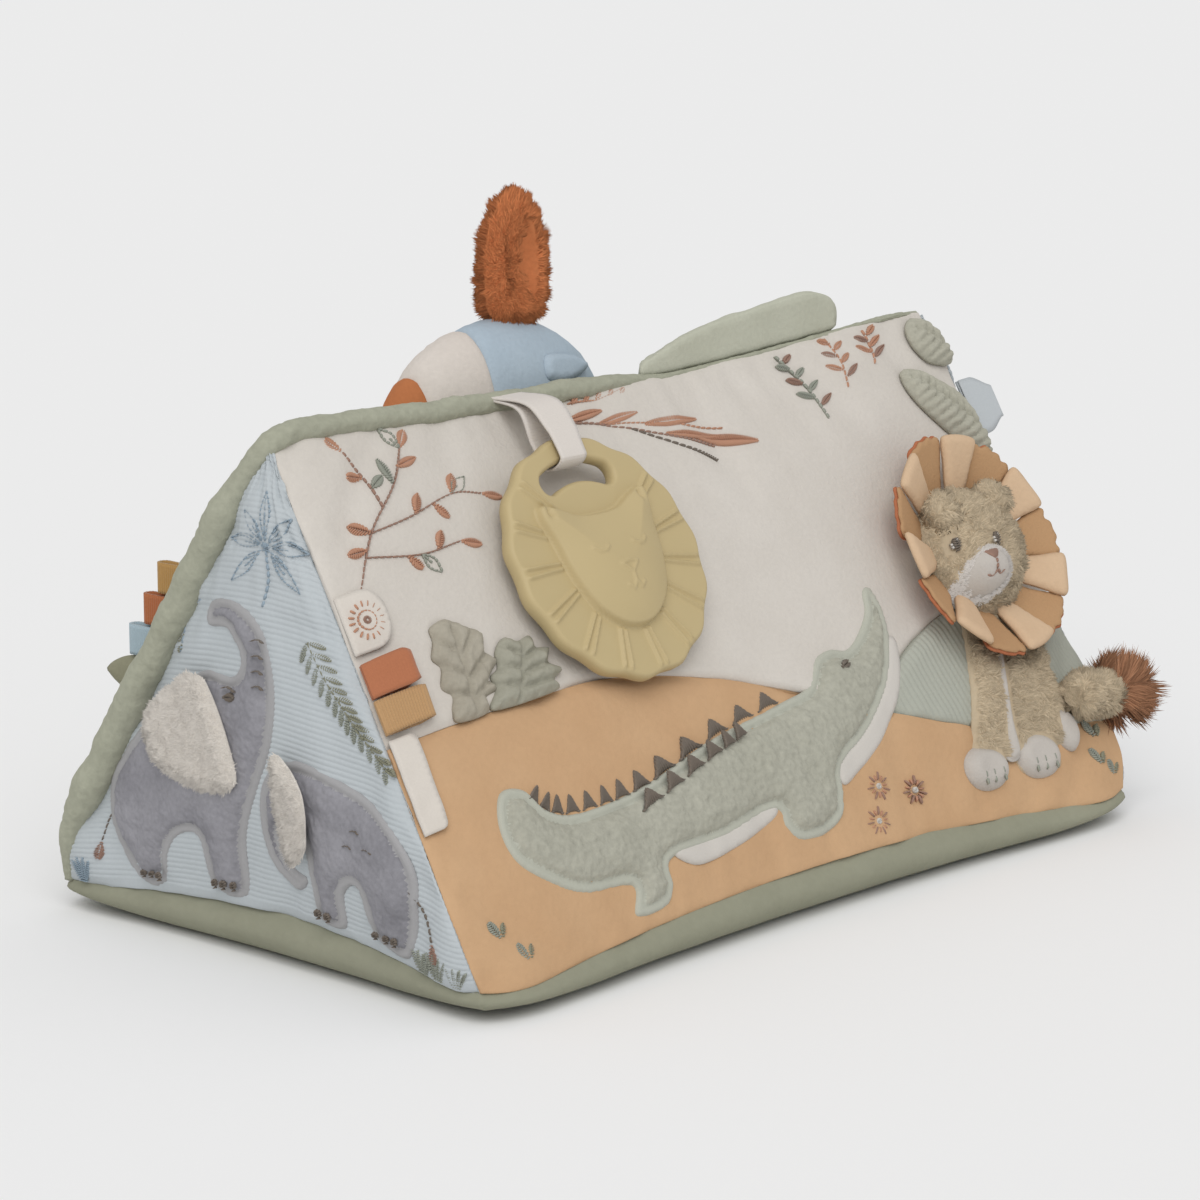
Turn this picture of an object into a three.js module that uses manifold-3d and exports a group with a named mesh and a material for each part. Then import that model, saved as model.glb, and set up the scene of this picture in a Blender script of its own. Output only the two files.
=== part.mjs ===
// A soft activity triangle for babies: a foam wedge in a sewn plush cover, with padded animals,
// leaves, ribbon tags, a silicone teether on a ribbon, and a stuffed bird behind the ridge.
// Millimetres, +Z up, +X along the wedge. The origin is the middle of the foot it stands on.
import * as THREE from "three";
import { mergeVertices } from "three/addons/utils/BufferGeometryUtils.js";
import Module from "manifold-3d";

const wasm = await Module();
wasm.setup();

// Driving dimensions of the wedge, measured between its sewn edges.
const LENGTH = 450;
const BASE_WIDTH = 265;
const RISE = 222;
const SEAM_LIFT = 16; // height of the lower seams above the floor
const DRAW_IN = 4; // how far each seam is pulled in between its corners
const SIDE_CROWN = 10;
const END_CROWN = 8;
const BASE_CROWN = 26; // more than SEAM_LIFT, so the foot is pressed flat on the floor
const CROWN_POWER = 3; // a high power keeps the middle of a panel flat and its edges round
const COVER = 4; // plush with its wadding
const GAP = 0.3; // between pieces that lie on each other
const SEAM_COLUMNS = 18;
const SEAM_ROWS = 10;
const CELL = 15; // spacing of the faces on a piece that follows a panel's curve
const SQUARE = 10; // the animals and leaves are drawn on squares of this size

const NEAR = -LENGTH / 2;
const FAR = LENGTH / 2;
const SLOPE = Math.hypot(BASE_WIDTH / 2, RISE); // height of a long side, along its face
const CENTRE_HEIGHT = SEAM_LIFT + 0.38 * RISE;
const CENTRE_REACH = BASE_WIDTH / 3; // how far the ends of the centre line stay inside the wedge

// Colours, from the photographed fabrics.
const CREAM = "#e0dad1";
const PEACH = "#dcb287";
const SAGE = "#aab09c";
const SAGE_RIB = "#b3bcac";
const SKY_BLUE = "#c4d0d9";
const GREY = "#8b8d94";
const WHITE = "#ece6e1";
const RUST = "#b9673c";
const TAN = "#c49a6c";
const MUSTARD = "#c0984f";
const SILICONE = "#c4ae75";
const LION_FUR = "#c3b59c";
const BROWN = "#8d5c41";
const PALE_BLUE = "#b3c3cd";
const BIRD_BLUE = "#a9bfd6";
const FOAM = "#e9e4d6";
const CLEAR_PLASTIC = "#d9dcdc";

const vec = (x, y, z) => new THREE.Vector3(x, y, z);
const vec2 = (x, y) => new THREE.Vector2(x, y);
const AXIS_X = vec(1, 0, 0);
const AXIS_Y = vec(0, 1, 0);
const AXIS_Z = vec(0, 0, 1);

// Solids: geometry to and from closed meshes that can be joined and cut.
function solidOf(geometry) {
  const bare = geometry.clone();
  bare.deleteAttribute("normal");
  bare.deleteAttribute("uv");
  const merged = mergeVertices(bare, 1e-4);
  const kept = [];
  for (let i = 0; i < merged.index.count; i += 3) {
    const [a, b, c] = [0, 1, 2].map((k) => merged.index.getX(i + k));
    if (a !== b && b !== c && c !== a) kept.push(a, b, c);
  }
  const vertProperties = new Float32Array(merged.attributes.position.array);
  return new wasm.Manifold(new wasm.Mesh({ numProp: 3, vertProperties, triVerts: new Uint32Array(kept) }));
}

function geometryOf(solid) {
  const mesh = solid.getMesh();
  const geometry = new THREE.BufferGeometry();
  geometry.setAttribute("position", new THREE.BufferAttribute(new Float32Array(mesh.vertProperties), 3));
  geometry.setIndex(new THREE.BufferAttribute(new Uint32Array(mesh.triVerts), 1));
  geometry.computeVertexNormals();
  return geometry;
}

const cut = (geometry, ...tools) =>
  geometryOf(tools.reduce((left, tool) => left.subtract(tool), solidOf(geometry)));
const common = (a, b) => geometryOf(solidOf(a).intersect(solidOf(b)));

// A closed body between two surfaces, each given as a function of two shares from 0 to 1.
function layer(columns, rows, inner, outer) {
  const points = [];
  const faces = [];
  const count = (columns + 1) * (rows + 1);
  for (const surface of [inner, outer]) {
    for (let j = 0; j <= rows; j++) {
      for (let i = 0; i <= columns; i++) points.push(...surface(i / columns, j / rows).toArray());
    }
  }
  const at = (i, j, side) => side * count + j * (columns + 1) + i;
  for (let j = 0; j < rows; j++) {
    for (let i = 0; i < columns; i++) {
      for (const side of [0, 1]) {
        const [a, b] = [at(i, j, side), at(i + 1, j, side)];
        const [c, d] = [at(i + 1, j + 1, side), at(i, j + 1, side)];
        faces.push(...(side ? [a, b, c, a, c, d] : [a, c, b, a, d, c]));
      }
    }
  }
  const rim = [];
  for (let i = 0; i < columns; i++) rim.push([i, 0]);
  for (let j = 0; j < rows; j++) rim.push([columns, j]);
  for (let i = columns; i > 0; i--) rim.push([i, rows]);
  for (let j = rows; j > 0; j--) rim.push([0, j]);
  rim.forEach(([i, j], k) => {
    const [m, n] = rim[(k + 1) % rim.length];
    faces.push(at(i, j, 0), at(m, n, 0), at(m, n, 1), at(i, j, 0), at(m, n, 1), at(i, j, 1));
  });
  const geometry = new THREE.BufferGeometry();
  geometry.setAttribute("position", new THREE.BufferAttribute(new Float32Array(points), 3));
  geometry.setIndex(faces);
  return geometry;
}

function fabric(colour, roughness = 0.95) {
  return new THREE.MeshStandardMaterial({ color: colour, roughness, metalness: 0 });
}

function piece(parent, name, geometry, colour, roughness) {
  const mesh = new THREE.Mesh(geometry, fabric(colour, roughness));
  mesh.name = name;
  parent.add(mesh);
  return mesh;
}

// The wedge's seams and its five crowned panels.
const triangle = new THREE.Group();
const frontCorner = (x) => vec(x, -BASE_WIDTH / 2, SEAM_LIFT);
const backCorner = (x) => vec(x, BASE_WIDTH / 2, SEAM_LIFT);
const ridgeCorner = (x) => vec(x, 0, SEAM_LIFT + RISE);
const centreLine = new THREE.Line3(
  vec(NEAR + CENTRE_REACH, 0, CENTRE_HEIGHT),
  vec(FAR - CENTRE_REACH, 0, CENTRE_HEIGHT),
);
const inward = (p) => centreLine.closestPointToPoint(p, true, vec()).sub(p).normalize();

function seam(a, b) {
  const pull = inward(a.clone().lerp(b, 0.5)).multiplyScalar(DRAW_IN);
  return (t) => a.clone().lerp(b, t).addScaledVector(pull, Math.sin(Math.PI * t));
}

const bell = (x) => 1 - Math.abs(2 * x - 1) ** CROWN_POWER;

// Even steps drawn closer together towards the seams, where a panel curves most.
const toBothSeams = (share) => (1 - Math.cos(Math.PI * share)) / 2;
const toFirstSeam = (share) => 1 - Math.cos((Math.PI * share) / 2);
const toLastSeam = (share) => Math.sin((Math.PI * share) / 2);

// A panel is a surface between four seams, with a frame of its own: x along it, y up it, z outwards.
// Its places are given in that frame, and place() turns them into shares across and up the surface.
function panel({ bottom, top, left, right, crown, origin, across, up, place, floor = -Infinity }) {
  const frame = new THREE.Group();
  const outwards = across.clone().cross(up);
  frame.position.copy(origin);
  frame.quaternion.setFromRotationMatrix(new THREE.Matrix4().makeBasis(across, up, outwards));
  frame.updateMatrixWorld(true);
  triangle.add(frame);
  const [b0, b1, t0, t1] = [bottom(0), bottom(1), top(0), top(1)];
  function at(u, v) {
    const p = bottom(u).multiplyScalar(1 - v).addScaledVector(top(u), v);
    p.addScaledVector(left(v), 1 - u).addScaledVector(right(v), u);
    p.addScaledVector(b0, -(1 - u) * (1 - v)).addScaledVector(b1, -u * (1 - v));
    p.addScaledVector(t0, -(1 - u) * v).addScaledVector(t1, -u * v);
    p.addScaledVector(outwards, crown * bell(u) * bell(v));
    p.z = Math.max(p.z, floor);
    return p;
  }
  const on = (x, y, lift = 0) => frame.worldToLocal(at(...place(x, y))).add(vec(0, 0, lift));
  return { at, on, frame };
}

const upFront = vec(0, BASE_WIDTH / 2, RISE).normalize();
const upBack = vec(0, -BASE_WIDTH / 2, RISE).normalize();
const longPlace = (x, y) => [x / LENGTH, y / SLOPE];
const endPlace = (x, y) => {
  const v = y / RISE;
  return [0.5 + x / (BASE_WIDTH * Math.max(1 - v, 0.02)), v];
};
const ridgeSeam = (a, b) => seam(ridgeCorner(a), ridgeCorner(b));
const point = (p) => () => p.clone();

const panels = {
  front: panel({
    bottom: seam(frontCorner(NEAR), frontCorner(FAR)),
    top: ridgeSeam(NEAR, FAR),
    left: seam(frontCorner(NEAR), ridgeCorner(NEAR)),
    right: seam(frontCorner(FAR), ridgeCorner(FAR)),
    crown: SIDE_CROWN,
    origin: frontCorner(NEAR),
    across: AXIS_X.clone(),
    up: upFront,
    place: longPlace,
  }),
  back: panel({
    bottom: seam(backCorner(FAR), backCorner(NEAR)),
    top: ridgeSeam(FAR, NEAR),
    left: seam(backCorner(FAR), ridgeCorner(FAR)),
    right: seam(backCorner(NEAR), ridgeCorner(NEAR)),
    crown: SIDE_CROWN,
    origin: backCorner(FAR),
    across: AXIS_X.clone().negate(),
    up: upBack,
    place: longPlace,
  }),
  base: panel({
    bottom: seam(backCorner(NEAR), backCorner(FAR)),
    top: seam(frontCorner(NEAR), frontCorner(FAR)),
    left: seam(backCorner(NEAR), frontCorner(NEAR)),
    right: seam(backCorner(FAR), frontCorner(FAR)),
    crown: BASE_CROWN,
    origin: backCorner(NEAR),
    across: AXIS_X.clone(),
    up: AXIS_Y.clone().negate(),
    place: (x, y) => [x / LENGTH, y / BASE_WIDTH],
    floor: 0,
  }),
  near: panel({
    bottom: seam(backCorner(NEAR), frontCorner(NEAR)),
    top: point(ridgeCorner(NEAR)),
    left: seam(backCorner(NEAR), ridgeCorner(NEAR)),
    right: seam(frontCorner(NEAR), ridgeCorner(NEAR)),
    crown: END_CROWN,
    origin: vec(NEAR, 0, SEAM_LIFT),
    across: AXIS_Y.clone().negate(),
    up: AXIS_Z.clone(),
    place: endPlace,
  }),
  far: panel({
    bottom: seam(frontCorner(FAR), backCorner(FAR)),
    top: point(ridgeCorner(FAR)),
    left: seam(frontCorner(FAR), ridgeCorner(FAR)),
    right: seam(backCorner(FAR), ridgeCorner(FAR)),
    crown: END_CROWN,
    origin: vec(FAR, 0, SEAM_LIFT),
    across: AXIS_Y.clone(),
    up: AXIS_Z.clone(),
    place: endPlace,
  }),
};

const sink = (p, depth) => p.addScaledVector(inward(p), depth);

// One closed body with the wedge's own surface, sunk by a depth, or swollen by a negative one.
function wedge(depth) {
  const points = [];
  const faces = [];
  for (const [name, { at }] of Object.entries(panels)) {
    const columns = name === "near" || name === "far" ? SEAM_ROWS : SEAM_COLUMNS;
    const first = points.length / 3;
    for (let j = 0; j <= SEAM_ROWS; j++) {
      for (let i = 0; i <= columns; i++) {
        const p = at(toBothSeams(i / columns), toBothSeams(j / SEAM_ROWS));
        points.push(...sink(p, depth).toArray());
      }
    }
    for (let j = 0; j < SEAM_ROWS; j++) {
      for (let i = 0; i < columns; i++) {
        const a = first + j * (columns + 1) + i;
        const d = a + columns + 1;
        faces.push(a, a + 1, d + 1, a, d + 1, d);
      }
    }
  }
  const geometry = new THREE.BufferGeometry();
  geometry.setAttribute("position", new THREE.BufferAttribute(new Float32Array(points), 3));
  geometry.setIndex(faces);
  return geometry;
}

// Outer cover: five panels, the front one pieced from sky, hill and ground.
const GROUND = { high: 116, low: 40, fallFrom: 110, fallToFar: 50 };
const HILL = { foot: 40, rise: 70, fromFar: 200, span: 300, tip: 4 };
const hillFrom = LENGTH - HILL.fromFar;

function groundLine(x) {
  const along = THREE.MathUtils.smoothstep(x, GROUND.fallFrom, LENGTH - GROUND.fallToFar);
  return THREE.MathUtils.lerp(GROUND.high, GROUND.low, along);
}
const hillLine = (x) => HILL.foot + HILL.rise * Math.sin((Math.PI * (x - hillFrom)) / HILL.span);

function hillStart() {
  let x = hillFrom;
  while (hillLine(x) < groundLine(x) && x < LENGTH) x += 1;
  return x;
}

function cover(name, { at }, colour, columns, rows, share) {
  const outer = (i, j) => at(...share(i, j));
  const inner = (i, j) => sink(outer(i, j), COVER);
  return piece(triangle, name, geometryOf(solidOf(layer(columns, rows, inner, outer))), colour);
}

const inset = (share, size, gap = GAP) => THREE.MathUtils.lerp(gap / size, 1 - gap / size, share);
const alongSeam = (i) => inset(toBothSeams(i), LENGTH);
const fullPanel = (height) => (i, j) => [alongSeam(i), inset(toBothSeams(j), height)];
const endPanel = (i, j) => [inset(toBothSeams(i), BASE_WIDTH), inset(toBothSeams(j), RISE, 2 * GAP)];
const between = (low, high, steps) => (i, j) => {
  const u = alongSeam(i);
  return [u, THREE.MathUtils.lerp(low(u * LENGTH), high(u * LENGTH), steps(j)) / SLOPE];
};
const overHill = (x) => (x > hillStart() ? Math.max(hillLine(x), groundLine(x) + 2 * GAP) : groundLine(x));

cover("base_panel", panels.base, SAGE, SEAM_COLUMNS, SEAM_ROWS, fullPanel(BASE_WIDTH));
cover("back_panel", panels.back, SAGE, SEAM_COLUMNS, SEAM_ROWS, fullPanel(SLOPE));
cover("near_end_panel", panels.near, SKY_BLUE, SEAM_ROWS, SEAM_ROWS, endPanel);
cover("far_end_panel", panels.far, SKY_BLUE, SEAM_ROWS, SEAM_ROWS, endPanel);
cover("front_sky_panel", panels.front, CREAM, SEAM_COLUMNS, SEAM_ROWS / 2, between(
  (x) => overHill(x) + GAP,
  () => SLOPE - GAP,
  toLastSeam,
));
cover("front_ground_panel", panels.front, PEACH, SEAM_COLUMNS, SEAM_ROWS / 2, between(
  () => GAP,
  (x) => groundLine(x) - GAP,
  toFirstSeam,
));
cover("front_hill_panel", panels.front, SAGE_RIB, SEAM_ROWS, SEAM_ROWS / 2, (i, j) => {
  const x = THREE.MathUtils.lerp(hillStart() + HILL.tip, LENGTH - GAP, toLastSeam(i));
  return [x / LENGTH, THREE.MathUtils.lerp(groundLine(x) + GAP, hillLine(x) - 4 * GAP, j) / SLOPE];
});

// Shapes that lie on a panel.
const squares = ([a, b], x = 0, y = 0) => vec2(x + a * SQUARE, y + b * SQUARE);

// A smooth closed outline through a few points of a panel.
const OUTLINE_STEPS = 3; // straight stretches between two of its points
function outline(points) {
  const path = points.map(({ x, y }) => vec(x, y, 0));
  const curve = new THREE.CatmullRomCurve3(path, true, "centripetal");
  return new THREE.Shape(curve.getPoints(points.length * OUTLINE_STEPS).slice(0, -1));
}

// An outline with one straight, sewn edge from a to b, and a curve through the rest of its points.
function flapShape(a, b, edge) {
  const shape = new THREE.Shape([a, b]);
  shape.splineThru(edge);
  return shape;
}

const extruded = (shape, depth, curveSegments = 6) =>
  new THREE.ExtrudeGeometry(shape, { depth, bevelEnabled: false, curveSegments });

// A layer of cloth or wadding in an outline, which follows the panel's curve under it.
const PRISM = 60; // tall enough to pass the crown of any panel
function patch({ on }, shape, lift, thickness) {
  const box = new THREE.Box2().setFromPoints(shape.getPoints()).expandByScalar(1);
  const size = box.getSize(vec2());
  const surface = (height) => (i, j) =>
    on(box.min.x + i * size.x, box.min.y + j * size.y, height);
  const columns = Math.ceil(size.x / CELL);
  const rows = Math.ceil(size.y / CELL);
  const slab = layer(columns, rows, surface(lift), surface(lift + thickness));
  const prism = extruded(shape, PRISM);
  return common(slab, prism.translate(0, 0, -PRISM / 2));
}

// A hinge line from a to b, in its frame's measure, with the pieces that turn about it.
function hinge(name, frame, a, b, ...meshes) {
  const group = new THREE.Group();
  group.name = name;
  group.position.copy(a);
  group.quaternion.setFromUnitVectors(AXIS_X, b.clone().sub(a).normalize());
  frame.add(group);
  group.updateWorldMatrix(true, false);
  meshes.forEach((mesh) => group.attach(mesh));
  return group;
}

// A frame that stands on a panel at one place, square to the cloth there.
function seat({ on, frame }, x, y, lift, reach = 20) {
  const along = on(x + reach, y).sub(on(x - reach, y)).normalize();
  const rise = on(x, y + reach).sub(on(x, y - reach));
  const out = along.clone().cross(rise).normalize();
  const group = new THREE.Group();
  group.position.copy(on(x, y)).addScaledVector(out, lift);
  const basis = new THREE.Matrix4().makeBasis(along, out.clone().cross(along), out);
  group.quaternion.setFromRotationMatrix(basis);
  frame.add(group);
  group.updateWorldMatrix(true, false);
  return group;
}

const turned = (profile, sides) => new THREE.LatheGeometry(profile.map(([r, y]) => vec2(r, y)), sides);
const standing = (profile, sides = 20) => turned(profile, sides).rotateX(Math.PI / 2);
const ball = (x, y, z) => new THREE.SphereGeometry(1, 12, 8).scale(x, y, z);

// Foam wedge inside the cover, with two pockets open to the cover.
const POCKET = { radius: 22, depth: 15 };
const SQUEAKER = { x: 190, y: 60 }; // behind the crocodile's back
const RATTLE = { x: -45, y: 60 }; // behind the large elephant
const UNDER_COVER = COVER + 2 * GAP;

function pocket({ on, frame }, { x, y }) {
  const tool = new THREE.CylinderGeometry(POCKET.radius, POCKET.radius, POCKET.depth + 2 * COVER, 20);
  tool.rotateX(Math.PI / 2).translate(0, 0, -POCKET.depth / 2);
  const place = on(x, y, -COVER);
  return solidOf(tool.translate(place.x, place.y, place.z).applyMatrix4(frame.matrixWorld));
}

const pockets = [pocket(panels.front, SQUEAKER), pocket(panels.near, RATTLE)];
piece(triangle, "foam_core", cut(wedge(UNDER_COVER), ...pockets), FOAM);

function soundPiece(name, { on, frame }, { x, y }, profile) {
  const mesh = piece(frame, name, standing(profile), CLEAR_PLASTIC, 0.4);
  mesh.position.copy(on(x, y, -COVER - COVER - POCKET.depth + GAP));
  return mesh;
}
const soundRadius = POCKET.radius - GAP;
soundPiece("squeaker", panels.front, SQUEAKER, [
  [0, 0],
  [soundRadius, 0],
  [soundRadius, POCKET.depth / 2],
  [soundRadius / 2, POCKET.depth * 0.8],
  [0, POCKET.depth * 0.8],
]);
soundPiece("rattle_capsule", panels.near, RATTLE, [
  [0, 0],
  [soundRadius * 0.7, 0],
  [soundRadius, POCKET.depth * 0.3],
  [soundRadius, POCKET.depth * 0.5],
  [soundRadius * 0.7, POCKET.depth * 0.8],
  [0, POCKET.depth * 0.8],
]);

// Near end: two padded elephants, each with an ear sewn along one edge.
const ELEPHANT = { puff: 4, earThickness: 4, earClear: 0.6 };
const LARGE_ELEPHANT = [
  [-7.6, 0.7], [-6, 0.6], [-5.4, 2.4], [-4.6, 3.3], [-3.6, 3.2], [-3.1, 0.9], [-1.2, 0.7], [-0.9, 3.4],
  [0.2, 6.2], [1.1, 8.6], [1.3, 11.4], [0.6, 13.6], [-1.2, 14.7], [-2.9, 14.5], [-3, 13.4], [-1.6, 13.3],
  [-0.7, 12.2], [-1.2, 11.2], [-3, 11.3], [-5.6, 10], [-7.6, 8], [-9.1, 5.4], [-8.8, 2.8],
];
const SMALL_ELEPHANT = [
  [3.2, 0.8], [4.6, 0.7], [4.9, 2.5], [5.8, 3.1], [6.4, 0.9], [8.3, 0.6], [9, 2.8], [8.9, 5.2], [7.2, 7],
  [4.6, 7.9], [2.2, 8], [0.6, 6.8], [0.2, 4.6], [0.7, 2.6], [2, 1.8], [2.7, 2.5], [1.7, 3], [1.4, 4.4],
  [2.6, 4.7], [2.9, 2.8],
];
const LARGE_EAR = {
  from: [-0.6, 6.8],
  to: [-2.4, 10.9],
  edge: [[-4.4, 10.5], [-5.7, 9], [-5.2, 7.3], [-3.6, 6.3], [-1.7, 6]],
};
const SMALL_EAR = {
  from: [1.7, 7.9],
  to: [2.4, 3.6],
  edge: [[3.1, 3.9], [3.7, 5], [3.7, 6.9], [2.5, 8]],
};

function elephant(name, edge, ear) {
  const { near } = panels;
  const shape = outline(edge.map((p) => squares(p)));
  piece(near.frame, name, patch(near, shape, GAP, ELEPHANT.puff), GREY);
  const lift = GAP + ELEPHANT.puff + ELEPHANT.earClear;
  const [from, to] = [squares(ear.from), squares(ear.to)];
  const earShape = flapShape(from, to, ear.edge.map((p) => squares(p)));
  const flap = piece(near.frame, `${name}_ear`, patch(near, earShape, lift, ELEPHANT.earThickness), WHITE);
  const middle = lift + ELEPHANT.earThickness / 2;
  const [a, b] = [near.on(from.x, from.y, middle), near.on(to.x, to.y, middle)];
  hinge(`${name}_ear_hinge`, near.frame, a, b, flap);
}
elephant("elephant_large", LARGE_ELEPHANT, LARGE_EAR);
elephant("elephant_small", SMALL_ELEPHANT, SMALL_EAR);

// Front: the lion's place, which the crocodile's snout reaches towards.
const LION = { fromFar: 62, y: 131, puff: 4, headRadius: 30.5, headDepth: 22 };
const MANE = {
  petals: 14,
  clear: 0.5,
  outer: 58,
  innerWidth: 11.6,
  outerWidth: 19,
  thickness: 4,
  flare: 24, // degrees that a petal stands off the panel
};
const lionX = LENGTH - LION.fromFar;

// Padded crocodile, cut to the room between the tags and the lion, and its white belly on top.
const CROCODILE = { x: 46, y: 14, clear: 12, puff: 5, bellyThickness: 1.5 };
const crocodileReach = lionX - MANE.outer - CROCODILE.clear - CROCODILE.x;
const crocodileShape = (points) =>
  outline(points.map(([share, y]) => vec2(CROCODILE.x + share * crocodileReach, CROCODILE.y + y * SQUARE)));
// Shares of its reach, and squares up the panel.
const CROCODILE_EDGE = [
  [0.01, 6.8], [0.03, 4.2], [0.13, 2], [0.2, 1.4], [0.2, 0.3], [0.27, 0.3], [0.31, 1.8], [0.46, 2.2],
  [0.59, 3], [0.61, 0.6], [0.68, 0.3], [0.71, 2.4], [0.8, 4], [0.93, 6.4], [0.99, 9.2], [0.99, 10.8],
  [0.95, 10.2], [0.91, 8.6], [0.85, 8.4], [0.8, 7.6], [0.7, 6.4], [0.48, 6.2], [0.3, 5.6], [0.14, 4.4],
  [0.08, 5.2], [0.05, 7],
];
const BELLY_EDGE = [
  [0.3, 2.4], [0.45, 2.6], [0.58, 3.4], [0.7, 3.4], [0.8, 4.6], [0.9, 6.6], [0.88, 7], [0.76, 5.4],
  [0.6, 4.2], [0.42, 3.6],
];
const { front, back } = panels;
piece(front.frame, "crocodile", patch(front, crocodileShape(CROCODILE_EDGE), GAP, CROCODILE.puff), SAGE);
const bellyLift = 2 * GAP + CROCODILE.puff;
piece(
  front.frame,
  "crocodile_belly",
  patch(front, crocodileShape(BELLY_EDGE), bellyLift, CROCODILE.bellyThickness),
  WHITE,
);

// Two leaves sewn by their lower edge into the line between sky and ground.
const LEAF = { thickness: 5 };
const LEFT_BUSH = {
  x: 39,
  width: 17,
  edge: [[2.7, 1], [3.3, 2.2], [2.9, 3.5], [1.8, 4.3], [0.7, 4.1], [0.1, 2.6]],
};
const RIGHT_BUSH = {
  x: 60,
  width: 38,
  edge: [[4.3, 0.8], [4.2, 1.6], [3.7, 2.2], [3.1, 2.6], [2.4, 2.5], [1.5, 1.7], [0.7, 0.8]],
};

function bushLeaf(name, { x, width, edge }) {
  const y = groundLine(x) + GAP;
  const shape = flapShape(vec2(x, y), vec2(x + width, y), edge.map((p) => squares(p, x, y)));
  const leaf = piece(front.frame, name, patch(front, shape, GAP, LEAF.thickness), SAGE);
  const middle = GAP + LEAF.thickness / 2;
  hinge(`${name}_hinge`, front.frame, front.on(x, y, middle), front.on(x + width, y, middle), leaf);
}
bushLeaf("bush_leaf_left", LEFT_BUSH);
bushLeaf("bush_leaf_right", RIGHT_BUSH);

// Silicone teether on a folded ribbon that is sewn into the ridge seam.
const TEETHER = {
  x: 149,
  belowRidge: 92,
  radius: 58,
  rim: 8, // between the slot and the outer edge
  lobes: 18,
  lobe: 1,
  thickness: 8,
  round: 2.5,
  clear: 2,
};
const TEETHER_FACE = { radius: 31, height: 8, y: -8 };
const TEETHER_SLOT = { half: 7, spread: 0.47 };
const RIBBON = { width: 20, ply: 1, clear: 1.9, ridge: 3, straight: 7.5, stitched: 0.2 };
const teetherY = SLOPE - TEETHER.belowRidge;
const rimMiddle = TEETHER.radius - TEETHER.rim / 2;
const slotMiddle = TEETHER.radius - TEETHER.rim - TEETHER_SLOT.half;
const ribbonRoom = Math.max(TEETHER.rim, TEETHER.thickness - 2 * TEETHER.round) / 2 + RIBBON.clear;

function teetherGeometry() {
  const { radius, lobes, lobe, thickness, round } = TEETHER;
  const edge = Array.from({ length: lobes * 4 }, (_, i) => {
    const angle = (i / (lobes * 4)) * 2 * Math.PI;
    const r = radius + lobe * Math.cos(lobes * angle);
    return vec2(r * Math.cos(angle), r * Math.sin(angle));
  });
  const shape = new THREE.Shape(edge);
  const { half, spread } = TEETHER_SLOT;
  const [start, end] = [Math.PI / 2 - spread, Math.PI / 2 + spread];
  const slot = new THREE.Path();
  const roundEnd = (angle, from) => {
    const [x, y] = [slotMiddle * Math.cos(angle), slotMiddle * Math.sin(angle)];
    slot.absarc(x, y, half, from, from + Math.PI, false);
  };
  slot.absarc(0, 0, slotMiddle + half, start, end, false);
  roundEnd(end, end);
  slot.absarc(0, 0, slotMiddle - half, end, start, true);
  roundEnd(start, start + Math.PI);
  shape.holes.push(slot);
  const disc = new THREE.ExtrudeGeometry(shape, {
    depth: thickness - 2 * round,
    bevelThickness: round,
    bevelSize: round,
    bevelOffset: -round,
    bevelSegments: 1,
    curveSegments: 8,
  }).translate(0, 0, round);
  const { radius: face, height, y } = TEETHER_FACE;
  const dome = standing([
    [0, 0],
    [face, 0],
    [face, thickness],
    [face * 0.9, thickness + height * 0.6],
    [face * 0.5, thickness + height],
    [0, thickness + height],
  ]);
  return geometryOf(solidOf(disc).add(solidOf(dome.translate(0, y, 0))));
}

// The ribbon's side view, y up the panel and z outwards: one closed band, round the teether's rim.
function ribbonGeometry(root, rim) {
  const { ply, width, straight } = RIBBON;
  const [top, bottom] = [rim.z + ribbonRoom, rim.z - ribbonRoom];
  const turn = rim.y - ribbonRoom;
  const bend = rim.y + straight;
  const stitched = root.clone().lerp(vec(0, bend, rim.z), RIBBON.stitched);
  const band = new THREE.Shape([
    vec2(root.y, root.z - ply), vec2(root.y, root.z + ply), vec2(bend, top + ply),
    vec2(turn + ply, top + ply), vec2(turn - ply, top - ply), vec2(turn - ply, bottom + ply),
    vec2(turn + ply, bottom - ply), vec2(bend, bottom - ply),
  ]);
  band.holes.push(new THREE.Path([
    vec2(stitched.y, stitched.z), vec2(bend, bottom), vec2(turn + ply, bottom), vec2(turn, bottom + ply),
    vec2(turn, top - ply), vec2(turn + ply, top), vec2(bend, top),
  ]));
  const solid = extruded(band, width);
  const turnedUp = new THREE.Matrix4().makeBasis(AXIS_Y, AXIS_Z, AXIS_X);
  return solid.applyMatrix4(turnedUp).translate(TEETHER.x - width / 2, 0, 0);
}

function hangingTeether() {
  const { x, thickness, clear } = TEETHER;
  const plane = front.on(x, teetherY, LEAF.thickness + clear).z;
  const rim = vec(x, teetherY + rimMiddle, plane + thickness / 2);
  const root = front.on(x, SLOPE - RIBBON.ridge, RIBBON.ply + 2 * GAP);
  const teether = piece(front.frame, "teether", teetherGeometry(), SILICONE, 0.5);
  teether.position.set(x, teetherY, plane);
  const ribbon = piece(front.frame, "teether_ribbon", ribbonGeometry(root, rim), CREAM);
  hinge("teether_ribbon_hinge", front.frame, root, root.clone().sub(AXIS_X), ribbon);
  hinge("teether_hinge", front.frame, rim, rim.clone().sub(AXIS_X), teether);
}
hangingTeether();

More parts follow.
